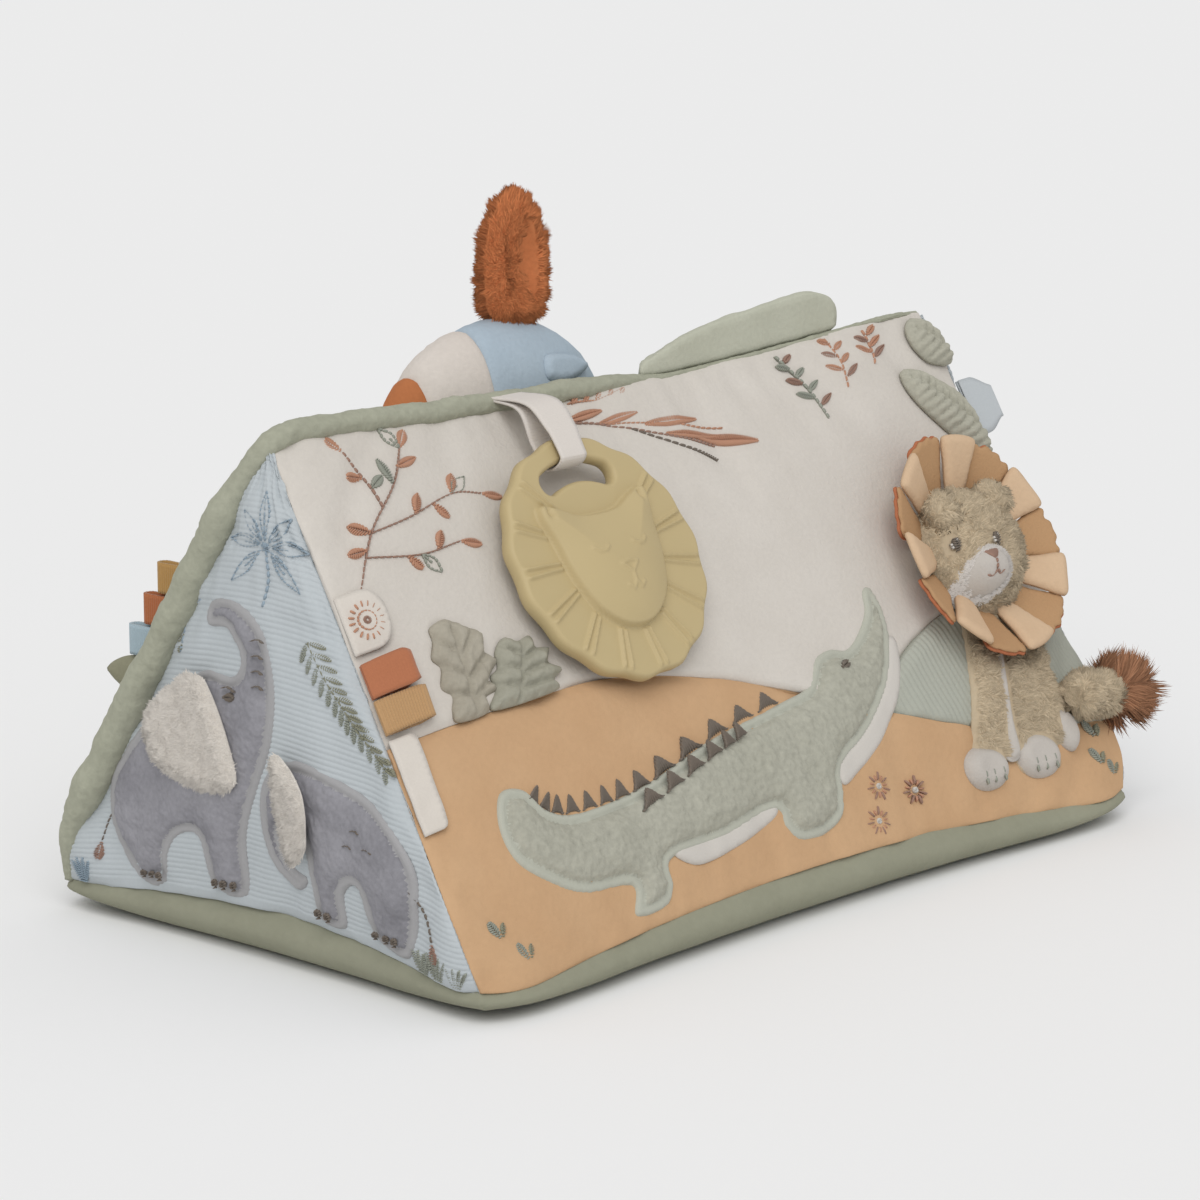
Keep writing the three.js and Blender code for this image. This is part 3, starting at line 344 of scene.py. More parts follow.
def on_cover(side):
    """A function that puts flat places of a panel, at a height over it, on the stuffed panel."""
    def place(flat, lift):
        u, v = SIDES[side]["place"](flat[..., 0], flat[..., 1])
        return settled(side, u, v) + facing(side, u, v) * np.asarray(lift)[..., None]
    return place


# Foam: one wedge of open-cell foam under the cover, with a squeaker behind the crocodile and a rattle
# behind the large elephant. None of it shows when the cover is sewn up.
FOAM_DEPTH = 0.010
FOAM_COLOUR = "#e9e4d6"
SHELL_COLOUR = "#d9dcdc"
foam, foam_shader = plain("open_cell_foam", FOAM_COLOUR, 0.95)
shell, shell_shader = plain("moulded_shell", SHELL_COLOUR, 0.35)


def two_tones(nodes, colour, spread):
    """A mix between a darker and a paler tone of a colour."""
    mix = nodes.new("ShaderNodeMix")
    mix.data_type = "RGBA"
    base = np.array(linear(colour))
    mix.inputs["A"].default_value = [*(base[:3] * (1 - spread)), 1]
    mix.inputs["B"].default_value = [*np.minimum(base[:3] * (1 + spread), 1), 1]
    return mix


def speckle(material, shader, colour, size, spread, bump, depth):
    """Uneven colour and a fine bump, in cells of about size, on a shader."""
    nodes, links = material.node_tree.nodes, material.node_tree.links
    place = nodes.new("ShaderNodeTexCoord")
    noise = nodes.new("ShaderNodeTexNoise")
    noise.inputs["Scale"].default_value = 1 / size
    noise.inputs["Detail"].default_value = 3
    links.new(place.outputs["Object"], noise.inputs["Vector"])
    mix = two_tones(nodes, colour, spread)
    links.new(noise.outputs["Fac"], mix.inputs["Factor"])
    links.new(mix.outputs["Result"], shader.inputs["Base Color"])
    relief = nodes.new("ShaderNodeBump")
    relief.inputs["Strength"].default_value = bump
    relief.inputs["Distance"].default_value = depth
    links.new(noise.outputs["Fac"], relief.inputs["Height"])
    links.new(relief.outputs["Normal"], shader.inputs["Normal"])
    return place, mix


def fit(obj, body, slot, *nodes):
    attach(obj, body)
    if nodes:
        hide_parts(*nodes)


speckle(foam, foam_shader, FOAM_COLOUR, 0.0015, 0.12, 0.6, 0.0008)
speckle(shell, shell_shader, SHELL_COLOUR, 0.004, 0.02, 0.1, 0.0002)
foam_wedge = mesh_object("foam_wedge", wedge_start + inward(wedge_start) * FOAM_DEPTH, wedge_faces, [foam])
fit(foam_wedge, "wedge", "foam", "foam_core")
for node in ("squeaker", "rattle_capsule"):
    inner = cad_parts[node].data
    inner.materials.clear()
    inner.materials.append(shell)

# Back and ends of the cover: a long sage plush panel, puffed along its seams, and two ends of pale blue
# knit with fine level ribs. Each panel is turned in where it meets the next.
PANEL_BACKING = 0.004
SEAM_ROLL = 0.006
SEAM_TUCK = 0.0025
BACK_ROLL = 0.0078
ROLL_SIDES = 28
RIB_PITCH = 0.0026
RIB_DEPTH = 0.0004
END_TOP = 0.985
SAGE = "#9fa08f"
END_BLUE = "#b4babd"


def smooth(start, end, x):
    t = np.clip((x - start) / (end - start), 0, 1)
    return t * t * (3 - 2 * t)


def drift(x, y, size, seed):
    """Soft uneven heights from -1 to 1, about size across."""
    lattice = np.random.default_rng(seed).uniform(-1, 1, (64, 64))
    gx, gy = np.asarray(x) / size, np.asarray(y) / size
    ix, iy = np.floor(gx).astype(int), np.floor(gy).astype(int)
    fx, fy = smooth(0, 1, gx - ix), smooth(0, 1, gy - iy)
    low = lattice[ix % 64, iy % 64] * (1 - fx) + lattice[(ix + 1) % 64, iy % 64] * fx
    high = lattice[ix % 64, (iy + 1) % 64] * (1 - fx) + lattice[(ix + 1) % 64, (iy + 1) % 64] * fx
    return low * (1 - fy) + high * fy


def plush(name, colour, tuft=0.0022, spread=0.10, sheen=0.25, depth=0.0006, brush=0.18):
    """Short pile: tufts in two tones, slow brushed patches, and a soft sheen."""
    material, shader = plain(name, colour, 0.92)
    shader.inputs["Specular IOR Level"].default_value = 0.15
    shader.inputs["Sheen Weight"].default_value = sheen
    shader.inputs["Sheen Roughness"].default_value = 0.45
    shader.inputs["Sheen Tint"].default_value = linear(colour)
    place, tufts = speckle(material, shader, colour, tuft, spread, 0.5, depth)
    nodes, links = material.node_tree.nodes, material.node_tree.links
    brushed = nodes.new("ShaderNodeTexNoise")
    brushed.inputs["Scale"].default_value = 30
    brushed.inputs["Detail"].default_value = 2
    links.new(place.outputs["Object"], brushed.inputs["Vector"])
    patches = nodes.new("ShaderNodeMix")
    patches.data_type = "RGBA"
    patches.blend_type = "SOFT_LIGHT"
    patches.inputs["Factor"].default_value = brush
    links.new(tufts.outputs["Result"], patches.inputs["A"])
    links.new(brushed.outputs["Fac"], patches.inputs["B"])
    links.new(patches.outputs["Result"], shader.inputs["Base Color"])
    return material


def steps(length, pitch):
    """Places from 0 to length, closer together at both ends, where the cloth turns in."""
    turn = np.array([0, 0.0006, 0.0013, 0.0022, 0.0034, 0.005])
    middle = np.linspace(0.007, length - 0.007, max(int((length - 0.014) / pitch), 2))
    return np.concatenate([turn, middle, (length - turn)[::-1]])


def closed_sheet(name, outer, inner, materials):
    """A closed layer between two grids of points."""
    rows, columns = outer.shape[:2]
    count = rows * columns
    top = grid_faces(rows, columns)
    index = np.arange(count).reshape(rows, columns)
    rim = np.concatenate([index[0, :-1], index[:-1, -1], index[-1, :0:-1], index[:0:-1, 0]])
    after = np.roll(rim, -1)
    walls = np.stack([rim + count, after + count, after, rim], -1)
    points = np.concatenate([outer.reshape(-1, 3), inner.reshape(-1, 3)])
    return mesh_object(name, points, [top, top[:, ::-1] + count, walls], materials)


def panel(name, side, u, v, edge, relief, material, slot, node, seed):
    """One panel of the cover. Edge is the distance to its nearest seam, where it turns in."""
    surface, out, within_wedge = settled(side, u, v), facing(side, u, v), inward(settled(side, u, v))
    tuck = SEAM_TUCK * np.clip(1 - edge / SEAM_ROLL, 0, 1) ** 2
    small = 0.0008 * drift(u * LENGTH, v * SLOPE, 0.011, seed) * np.exp(-edge / 0.012)
    large = 0.0016 * drift(u * LENGTH, v * SLOPE, 0.030, seed + 2) * np.exp(-edge / 0.025)
    gathers = (small + large) * (edge > 0)
    outer = surface + out * (relief + gathers)[..., None] + within_wedge * tuck[..., None]
    cloth = closed_sheet(name, outer, surface + within_wedge * (SEAM_TUCK + PANEL_BACKING), [material])
    fit(cloth, "wedge", slot, node)


x, y = np.meshgrid(steps(LENGTH, 0.004), steps(SLOPE, 0.004))
edge = np.minimum(np.minimum(x, LENGTH - x), np.minimum(y, SLOPE - y))
sage_plush = plush("sage_plush", SAGE, tuft=0.003, spread=0.16, depth=0.0012)
panel("back_plush", "back", x / LENGTH, y / SLOPE, edge, 0.0005 * drift(x, y, 0.04, 14), sage_plush,
      "sage_plush", "back_panel", 13)


def run_along(points):
    """How far along a line each of its points is."""
    return np.concatenate([[0], np.cumsum(np.linalg.norm(np.diff(points, axis=0), axis=1))])


def tube_faces(rings, sides):
    """Faces of a tube of rings, closed by one more point for its first end and one for its last."""
    count = rings * sides
    i, j = np.meshgrid(np.arange(rings - 1) * sides, np.arange(sides), indexing="ij")
    a, b = (i + j).ravel(), (i + (j + 1) % sides).ravel()
    first, last = np.arange(sides), np.arange(count - sides, count)
    caps = np.concatenate([np.stack([np.full(sides, count), np.roll(first, -1), first], -1),
                           np.stack([np.full(sides, count + 1), last, np.roll(last, -1)], -1)])
    return [np.stack([a, b, b + sides, a + sides], -1), caps]


def swept(path, radius, sides):
    """A round body along a path, closed at both ends. Radius is given by step, or by step and side."""
    ahead = unit(np.gradient(path, axis=0))
    side = np.empty_like(path)
    side[0] = unit(np.cross(ahead[0], (0.3, 0.5, 0.8)))
    for k in range(1, len(path)):
        side[k] = unit(side[k - 1] - ahead[k] * (side[k - 1] @ ahead[k]))
    turn = np.linspace(0, 2 * np.pi, sides, endpoint=False)[:, None]
    ring = side[:, None] * np.cos(turn) + np.cross(ahead, side)[:, None] * np.sin(turn)
    points = (path[:, None] + ring * np.reshape(radius, (len(path), -1, 1))).reshape(-1, 3)
    return np.vstack([points, path[:1], path[-1:]]), tube_faces(len(path), sides)


back_edge = np.vstack([COVER["back"][:, 0], COVER["back"][-1, 1:], COVER["back"][-2::-1, -1]])
back_run = run_along(back_edge)
roll_at = np.arange(0, back_run[-1], 0.0014)
roll_path = np.stack([np.interp(roll_at, back_run, back_edge[:, k]) for k in range(3)], -1)
for _ in range(24):
    roll_path[1:-1] = (roll_path[:-2] + roll_path[2:]) / 2
roll_end = np.minimum(roll_at, roll_at[-1] - roll_at)
roll_upright = smooth(0, 0.04, roll_path[:, 2].max() - 0.010 - roll_path[:, 2])
roll_far = smooth(-0.03, 0.05, roll_path[:, 0])
roll_level = 0.66 * (1 - roll_upright) * (1 - 0.72 * roll_far)
roll_fat = BACK_ROLL * (roll_level + roll_upright * (1 - 0.55 * roll_far))
roll_fat = roll_fat * (0.35 + 0.65 * smooth(0, 0.06, roll_end))
roll_path = roll_path - inward(roll_path) * (0.85 * roll_fat - 0.0040)[:, None]
around = np.linspace(0, 0.04, ROLL_SIDES)
roll_fat = roll_fat[:, None] * (1 + 0.16 * drift(roll_at[:, None], around, 0.012, 15))
roll_fat = roll_fat + 0.00035 * drift(roll_at[:, None], around, 0.0026, 16)
back_roll = mesh_object("back_roll", *swept(roll_path, roll_fat, ROLL_SIDES), [sage_plush])
fit(back_roll, "wedge", "sage_plush")

end_knit = plush("end_rib_knit", END_BLUE, tuft=0.0014, spread=0.05, sheen=0.1, depth=0.0002, brush=0.06)
for name, side, node, seed in (("near_end_knit", "near", "near_end_panel", 17),
                               ("far_end_knit", "far", "far_end_panel", 19)):
    y = np.concatenate([steps(RISE, 0.02)[:6], np.arange(0.006, RISE * END_TOP, RIB_PITCH / 6)])
    u, v = np.meshgrid(steps(BASE_WIDTH, 0.005) / BASE_WIDTH, y / RISE)
    x = (u - 0.5) * BASE_WIDTH * (1 - v)
    edge = np.minimum((BASE_WIDTH / 2 * (1 - v) - np.abs(x)) * RISE / SLOPE, v * RISE)
    ribs = RIB_DEPTH * np.abs(np.sin(np.pi * v * RISE / RIB_PITCH)) ** 0.7
    panel(name, side, u, v, np.maximum(edge, 0), ribs, end_knit, "blue_rib", node, seed)

# Foot of the cover: one piece of sage velour, sewn to the other panels along the lower seams. It drops round
# from them, and the weight of the wedge presses it flat.
FOOT_ROUND = 0.016
FOOT_BULGE = 0.005
FOOT_TURN_UP = 0.005
FOOT_THICK = 0.004
FOOT_SAGE = "#8f8f7d"
foot_turn = FOOT_ROUND * (1 - np.cos(np.linspace(0, np.pi / 2, 9)))[:-1]


def foot_steps(length):
    middle = np.linspace(FOOT_ROUND, length - FOOT_ROUND, int(length / 0.008))
    return np.concatenate([foot_turn, middle, (length - foot_turn)[::-1]])


x, y = np.meshgrid(foot_steps(LENGTH), foot_steps(BASE_WIDTH))
edge = np.minimum(np.minimum(x, LENGTH - x), np.minimum(y, BASE_WIDTH - y))
flat_foot = between_seams("base", x / LENGTH, y / BASE_WIDTH)
drop = 1 - np.sqrt(1 - (1 - np.minimum(edge / FOOT_ROUND, 1)) ** 2)
sideways = -inward(flat_foot) * [1, 1, 0]
at_corner = 1 - smooth(0, 0.07, np.hypot(np.minimum(x, LENGTH - x), np.minimum(y, BASE_WIDTH - y)))
foot_bulge = FOOT_BULGE * (1 - 0.7 * at_corner) * np.sin(np.pi * drop) + 0.0004 * drift(x, y, 0.02, 7)
foot = flat_foot + unit(sideways) * foot_bulge[..., None]
foot[..., 2] = flat_foot[..., 2] * drop + FOOT_TURN_UP * at_corner * (1 - drop)
turned_in = inward(flat_foot) * (SEAM_TUCK * np.clip(1 - edge / 0.0005, 0, 1))[..., None]
inner_foot = flat_foot + inward(flat_foot) * (FOOT_THICK + SEAM_TUCK)
inner_foot[..., 2] = np.maximum(foot[..., 2] + FOOT_THICK, inner_foot[..., 2] * drop)
foot_velour = plush("foot_velour", FOOT_SAGE, tuft=0.004, spread=0.06)
foot_cloth = closed_sheet("foot_velour", foot + turned_in, inner_foot, [foot_velour])
fit(foot_cloth, "wedge", "sage_plush", "base_panel")

# Front of the cover: a cream plush sky and a peach velour ground, with a ribbed sage hill let in between
# them at the far end, all sewn along their edges into one panel.
GROUND_HIGH, GROUND_LOW, GROUND_FROM, GROUND_TO = 0.116, 0.040, 0.110, LENGTH - 0.050
HILL_FOOT, HILL_RISE, HILL_FROM, HILL_SPAN = 0.040, 0.070, LENGTH - 0.200, 0.300
HILL_PITCH = 0.0036
HILL_DEPTH = 0.0006
CREAM = "#c9c3bb"
PEACH = "#c09d79"
HILL_SAGE = "#a7a99e"


def ground_line(x):
    return GROUND_HIGH + (GROUND_LOW - GROUND_HIGH) * smooth(GROUND_FROM, GROUND_TO, x)


def hill_line(x):
    return HILL_FOOT + HILL_RISE * np.sin(np.pi * (x - HILL_FROM) / HILL_SPAN)


hill_reach = np.linspace(HILL_FROM, LENGTH, 400)
hill_start = hill_reach[np.argmax(hill_line(hill_reach) > ground_line(hill_reach))]


def sky_line(x):
    return np.where(x > hill_start, np.maximum(hill_line(x), ground_line(x)), ground_line(x))


def front_piece(name, x, low, high, rows, material, slot, node, seed, ribs=0.0):
    share = (np.sin(np.linspace(-1, 1, rows) * np.pi / 2) + 1) / 2
    x, t = np.meshgrid(x, share)
    y = low(x) + (high(x) - low(x)) * t
    edge = np.minimum(np.minimum(y - low(x), high(x) - y), np.minimum(x, LENGTH - x))
    relief = 0.0004 * drift(x, y, 0.05, seed + 1)
    relief = relief + ribs * np.abs(np.sin(np.pi * (x + 0.25 * y) / HILL_PITCH)) ** 0.7
    panel(name, "front", x / LENGTH, y / SLOPE, np.maximum(edge, 0), relief, material, slot, node, seed)


cream_plush = plush("cream_plush", CREAM, spread=0.05)
peach_velour = plush("peach_velour", PEACH, tuft=0.003, spread=0.05)
hill_knit = plush("hill_rib_knit", HILL_SAGE, tuft=0.0014, spread=0.06, sheen=0.1, depth=0.0003, brush=0.06)
front_piece("sky_plush", steps(LENGTH, 0.003), sky_line, lambda x: np.full_like(x, SLOPE), 64, cream_plush,
            "cream_plush", "front_sky_panel", 23)
front_piece("ground_velour", steps(LENGTH, 0.003), np.zeros_like, ground_line, 52, peach_velour,
            "peach_velour", "front_ground_panel", 29)
hill_places = np.arange(hill_start + 0.001, LENGTH - 0.0003, HILL_PITCH / 6)
front_piece("hill_knit", hill_places, ground_line, hill_line, 30, hill_knit,
            "sage_rib", "front_hill_panel", 31, ribs=HILL_DEPTH)

# Elephants: grey plush sewn on the near end, puffed by wadding inside a flat satin border. Each has a loose
# ear with long pile, sewn on along one edge, and brown stitched toes, tail and eye.
GREY = "#8b8a8f"
GREY_SATIN = "#9b9a9b"
EAR_CREAM = "#d8d2ca"
SQUARE = 0.010
APPLIQUE_BORDER = 0.0048
LARGE_ELEPHANT = [
    (-7.6, 0.7), (-6, 0.6), (-5.4, 2.4), (-4.6, 3.3), (-3.6, 3.2), (-3.1, 0.9), (-1.2, 0.7), (-0.9, 3.4),
    (0.2, 6.2), (1.1, 8.6), (1.3, 11.4), (0.6, 13.6), (-1.2, 14.7), (-2.9, 14.5), (-3, 13.4), (-1.6, 13.3),
    (-0.7, 12.2), (-1.2, 11.2), (-3, 11.3), (-5.6, 10), (-7.6, 8), (-9.1, 5.4), (-8.8, 2.8),
]
SMALL_ELEPHANT = [
    (3.2, 0.8), (4.6, 0.7), (4.9, 2.5), (5.8, 3.1), (6.4, 0.9), (8.3, 0.6), (9, 2.8), (8.9, 5.2), (7.2, 7),
    (4.6, 7.9), (2.2, 8), (0.6, 6.8), (0.2, 4.6), (0.7, 2.6), (2, 1.8), (2.7, 2.5), (1.7, 3), (1.4, 4.4),
    (2.6, 4.7), (2.9, 2.8),
]
LARGE_EAR = [(-0.6, 6.8), (-2.4, 10.9), (-4.4, 10.5), (-5.7, 9), (-5.2, 7.3), (-3.6, 6.3), (-1.7, 6)]
SMALL_EAR = [(1.7, 7.9), (2.4, 3.6), (3.1, 3.9), (3.7, 5), (3.7, 6.9), (2.5, 8)]
EAR_LIFT = 0.0049
EAR_THICK = 0.0036
EAR_CURL = 0.004


def evenly(ring, spacing):
    closed = np.vstack([ring, ring[:1]])
    run = run_along(closed)
    at = np.linspace(0, run[-1], max(int(round(run[-1] / spacing)), 8), endpoint=False)
    return np.stack([np.interp(at, run, closed[:, k]) for k in (0, 1)], -1)


def outline(points, spacing, scale=SQUARE, corner=(0, 0)):
    """A smooth closed line through a few points, as evenly spaced places."""
    points = np.asarray(points, float) * scale + np.asarray(corner)
    w = curve_weights(np.linspace(0, 1, 12, endpoint=False))[..., None, None]
    before, after, beyond = (np.roll(points, k, 0) for k in (1, -1, -2))
    fine = w[0] * before + w[1] * points + w[2] * after + w[3] * beyond
    return evenly(fine.transpose(1, 0, 2).reshape(-1, 2), spacing)


def ring_distance(points, rings):
    """How far each place is from the nearest edge."""
    best = np.full(len(points), 1e9)
    for ring in rings:
        along = np.roll(ring, -1, axis=0) - ring
        for part in np.array_split(np.arange(len(points)), len(points) * len(ring) // 1000000 + 1):
            away = points[part][:, None] - ring
            t = np.clip((away * along).sum(-1) / np.maximum((along * along).sum(-1), 1e-18), 0, 1)
            best[part] = np.minimum(best[part], np.linalg.norm(away - along * t[..., None], axis=-1).min(1))
    return best


def within(points, rings):
    inside = np.zeros(len(points), bool)
    x, y = points[:, 0, None], points[:, 1, None]
    for ring in rings:
        after = np.roll(ring, -1, axis=0)
        rise = np.where(after[:, 1] == ring[:, 1], 1e-12, after[:, 1] - ring[:, 1])
        cross = ring[:, 0] + (after[:, 0] - ring[:, 0]) * (y - ring[:, 1]) / rise
        inside ^= ((((ring[:, 1] > y) != (after[:, 1] > y)) & (x < cross)).sum(1) % 2).astype(bool)
    return inside


def filled(rings, spacing):
    """Places and triangles that fill an outline, less any holes in it."""
    low, high = rings[0].min(0), rings[0].max(0)
    columns, rows = np.arange(low[0], high[0], spacing), np.arange(low[1], high[1], spacing * 0.87)
    grid = np.stack(np.meshgrid(columns, rows), -1)
    grid[1::2, :, 0] += spacing / 2
    grid = grid.reshape(-1, 2)
    grid = grid[within(grid, rings)]
    grid = grid[ring_distance(grid, rings) > 0.6 * spacing]
    edges, start = [], len(grid)
    for ring in rings:
        edges += [(start + k, start + (k + 1) % len(ring)) for k in range(len(ring))]
        start += len(ring)
    made = delaunay_2d_cdt([Vector(p * 1000) for p in np.vstack([grid, *rings])], edges, [], 0, 1e-4)
    flat = np.array([tuple(p) for p in made[0]]) / 1000
    triangles = np.array(made[2])
    triangles = triangles[within(flat[triangles].mean(1), rings)]
    a, b, c = (flat[triangles[:, k]] for k in range(3))
    turn = (b[:, 0] - a[:, 0]) * (c[:, 1] - a[:, 1]) - (b[:, 1] - a[:, 1]) * (c[:, 0] - a[:, 0])
    triangles[turn < 0] = triangles[turn < 0][:, ::-1]
    return flat, triangles


def pad(name, rings, spacing, place, top, bottom, materials, paint=None):
    """A closed pad in an outline. Top and bottom give its heights, and paint its cloth, by place and edge."""
    flat, triangles = filled(rings, spacing)
    edge = ring_distance(flat, rings)
    upper, lower = place(flat, top(flat, edge)), place(flat, bottom(flat, edge))
    sides = np.concatenate([triangles[:, [0, 1]], triangles[:, [1, 2]], triangles[:, [2, 0]]])
    known = set(map(tuple, sides.tolist()))
    rim = np.array(sorted(s for s in known if s[::-1] not in known))
    count = len(flat)
    walls = np.stack([rim[:, 0] + count, rim[:, 1] + count, rim[:, 1], rim[:, 0]], -1)
    tone = np.zeros(len(triangles) * 2 + len(walls), int)
    if paint:
        centre = flat[triangles].mean(1)
        tone[:len(triangles)] = paint(centre, ring_distance(centre, rings))
    faces = [triangles, triangles[:, ::-1] + count, walls]
    obj = mesh_object(name, np.vstack([upper, lower]), faces, materials, tone)
    return obj, flat, triangles, edge, upper


def scattered(points, triangles, density, seed):
    """Roots spread evenly over triangles, the way each of them faces, and the triangle it is on."""
    rng = np.random.default_rng(seed)
    a, b, c = (points[triangles[:, k]] for k in range(3))
    cross = np.cross(b - a, c - a)
    area = np.linalg.norm(cross, axis=1) / 2
    chosen = rng.choice(len(triangles), int(area.sum() * density), p=area / area.sum())
    r, s = np.sqrt(rng.random(len(chosen)))[:, None], rng.random(len(chosen))[:, None]
    roots = a[chosen] * (1 - r) + b[chosen] * (r * (1 - s)) + c[chosen] * (r * s)
    return roots, unit(cross[chosen]), chosen


def pile(name, roots, out, length, width, material, seed, lean=(0, 0, 0), ruffle=0.5):
    """Strands of pile, each a thin three-sided spike with a bend, lit as the cloth that it stands on."""
    rng = np.random.default_rng(seed)
    count = len(roots)
    wild = rng.normal(size=(count, 3))
    wild = unit(wild - out * (wild * out).sum(1, keepdims=True))
    rise = unit(out + ruffle * wild * rng.random((count, 1)) + np.asarray(lean))
    bent = unit(rise + 0.7 * ruffle * unit(rng.normal(size=(count, 3))) + 0.7 * np.asarray(lean))
    reach = length * rng.uniform(0.7, 1.15, (count, 1))
    side = unit(np.cross(rise, rng.normal(size=(count, 3))))
    other = np.cross(rise, side)
    ring = [(side * math.cos(a) + other * math.sin(a)) * width * 0.55 for a in (0, 2.094, 4.189)]
    middle = roots + rise * reach * 0.55
    points = [roots - out * 0.0003 + r for r in ring] + [middle + r * 0.8 for r in ring]
    points = np.stack(points + [middle + bent * reach * 0.45], 1).reshape(-1, 3)
    start = np.arange(count)[:, None, None] * 7
    walls = (start + np.array([(0, 1, 4, 3), (1, 2, 5, 4), (2, 0, 3, 5)])).reshape(-1, 4)
    tips = (start + np.array([(3, 4, 6), (4, 5, 6), (5, 3, 6)])).reshape(-1, 3)
    obj = mesh_object(name, points, [walls, tips], [material])
    facets = np.stack(ring + ring + [ring[0] * 0], 1)
    lit = unit(out[:, None] + 0.5 * unit(facets) * (np.linalg.norm(facets, axis=2, keepdims=True) > 0))
    obj.data.normals_split_custom_set_from_vertices(lit.reshape(-1, 3).tolist())
    obj.visible_shadow = False
    return obj


def locks(roots, count, toss, seed):
    """Roots gathered into locks: the way that each lock is tossed, and its share of the full length."""
    rng = np.random.default_rng(seed)
    middle = roots[rng.choice(len(roots), count, replace=False)]
    own = np.argmin(((roots[:, None] - middle) ** 2).sum(2), axis=1)
    return (toss * unit(rng.normal(size=(count, 3))))[own], rng.uniform(0.6, 1.1, (count, 1))[own]


def strands(name, colour, spread=0.22):
    """Pile in uneven tones, strand by strand."""
    material, shader = plain(name, colour, 0.9)
    shader.inputs["Specular IOR Level"].default_value = 0.12
    shader.inputs["Sheen Weight"].default_value = 0.2
    shader.inputs["Sheen Tint"].default_value = linear(colour)
    nodes, links = material.node_tree.nodes, material.node_tree.links
    strand = nodes.new("ShaderNodeNewGeometry")
    mix = two_tones(nodes, colour, spread)
    links.new(strand.outputs["Random Per Island"], mix.inputs["Factor"])
    links.new(mix.outputs["Result"], shader.inputs["Base Color"])
    return material


def satin(name, colour):
    """Smooth close cloth with a faint thread and a low shine."""
    material, shader = plain(name, colour, 0.6)
    shader.inputs["Specular IOR Level"].default_value = 0.3
    shader.inputs["Sheen Weight"].default_value = 0.15
    speckle(material, shader, colour, 0.0009, 0.05, 0.25, 0.0002)
    return material


def applique_top(puff, seed, border=APPLIQUE_BORDER, flat_height=0.0014, tuft=0.0005):
    """A flat border, a sewn groove, and tufted pile over wadding that rounds up to its full height."""
    def top(flat, edge):
        x, y = flat[:, 0], flat[:, 1]
        groove = 0.0008 * np.exp(-((edge - border) / 0.0009) ** 2)
        swell = (puff - flat_height) * np.sqrt(np.clip((edge - border) / 0.008, 0, 1))
        tufts = tuft * (drift(x * 1.5 + y, y, 0.0017, seed) + 0.8 * drift(x, y, 0.005, seed + 1))
        rolled = flat_height * np.sqrt(np.clip(edge / 0.0012, 0, 1))
        return rolled - groove + swell + tufts * (edge > border)
    return top


def sunk(depth):
    return lambda flat, edge: np.full(len(flat), -depth)


def bordered(flat, edge):
    return np.where(edge < APPLIQUE_BORDER, 0, 1)


on_near = on_cover("near")
grey_plush = plush("grey_plush", GREY, tuft=0.002, spread=0.2, brush=0.5)
grey_satin = satin("grey_satin", GREY_SATIN)
for name, points, seed in (("elephant_large", LARGE_ELEPHANT, 41), ("elephant_small", SMALL_ELEPHANT, 43)):
    body, *_ = pad(f"{name}_body", [outline(points, 0.0014)], 0.0012, on_near, applique_top(0.0044, seed),
                   sunk(0.0004), [grey_satin, grey_plush], bordered)
    fit(body, "wedge", "grey_plush", name)

ear_plush = plush("ear_plush", EAR_CREAM, spread=0.05)
ear_strands = strands("ear_strands", EAR_CREAM, 0.08)
for name, points, seed in (("elephant_large", LARGE_EAR, 47), ("elephant_small", SMALL_EAR, 49)):
    hinge_a, hinge_b = (np.array(p) * SQUARE for p in points[:2])
    along = unit(hinge_b - hinge_a)
    square_to = np.array([-along[1], along[0]])

    def ear_curl(flat):
        out_from_hinge = np.abs((flat - hinge_a) @ square_to)
        return EAR_CURL * (out_from_hinge / out_from_hinge.max()) ** 2

    def ear_top(flat, edge):
        return EAR_LIFT + ear_curl(flat) + EAR_THICK * np.sqrt(np.clip(edge / 0.005, 0.05, 1))

    def ear_bottom(flat, edge):
        return EAR_LIFT + ear_curl(flat)

    ear, _, triangles, _, upper = pad(f"{name}_ear_flap", [outline(points, 0.0018)], 0.0022, on_near,
                                      ear_top, ear_bottom, [ear_plush])
    fit(ear, f"{name}_ear", "white_plush", f"{name}_ear")
    roots, out, _ = scattered(upper, triangles, 5.0e6, seed)
    toss, reach = locks(roots, 240, 0.3, seed)
    fringe = pile(f"{name}_ear_pile", roots, out, 0.0036 * reach, 0.0006, ear_strands, seed,
                  lean=toss, ruffle=0.7)
    fit(fringe, f"{name}_ear", "white_plush")

# Stitched plants: raised satin and back stitches in rust, olive and blue thread, worked on the flat panels
# before they are sewn up. Twigs and long grasses are on the sky, tufts and small flowers on the ground.
THREAD_LIFT = 0.0012
# White thread is the real centre of the small flowers. On the lion's and crocodile's eyes it is a painted
# highlight.
THREAD_COLOURS = {
    "rust": "#b98a70", "brown": "#99796a", "green": "#95988c", "blue": "#93a3af", "olive": "#8b8a76",
    "dark": "#70665c", "white": "#cdc8c1",
}
thread_tones = list(THREAD_COLOURS)
thread_cloth = [satin(f"{tone}_thread", colour) for tone, colour in THREAD_COLOURS.items()]


def curve(points, count):
    """Places along a smooth open line through a few points."""
    points = np.asarray(points, float)
    ends = np.vstack([2 * points[0] - points[1], points, 2 * points[-1] - points[-2]])
    at = np.linspace(0, len(points) - 1, count)
    i = np.minimum(at.astype(int), len(points) - 2)
    w = curve_weights(at - i)[..., None]
    return w[0] * ends[i] + w[1] * ends[i + 1] + w[2] * ends[i + 2] + w[3] * ends[i + 3]


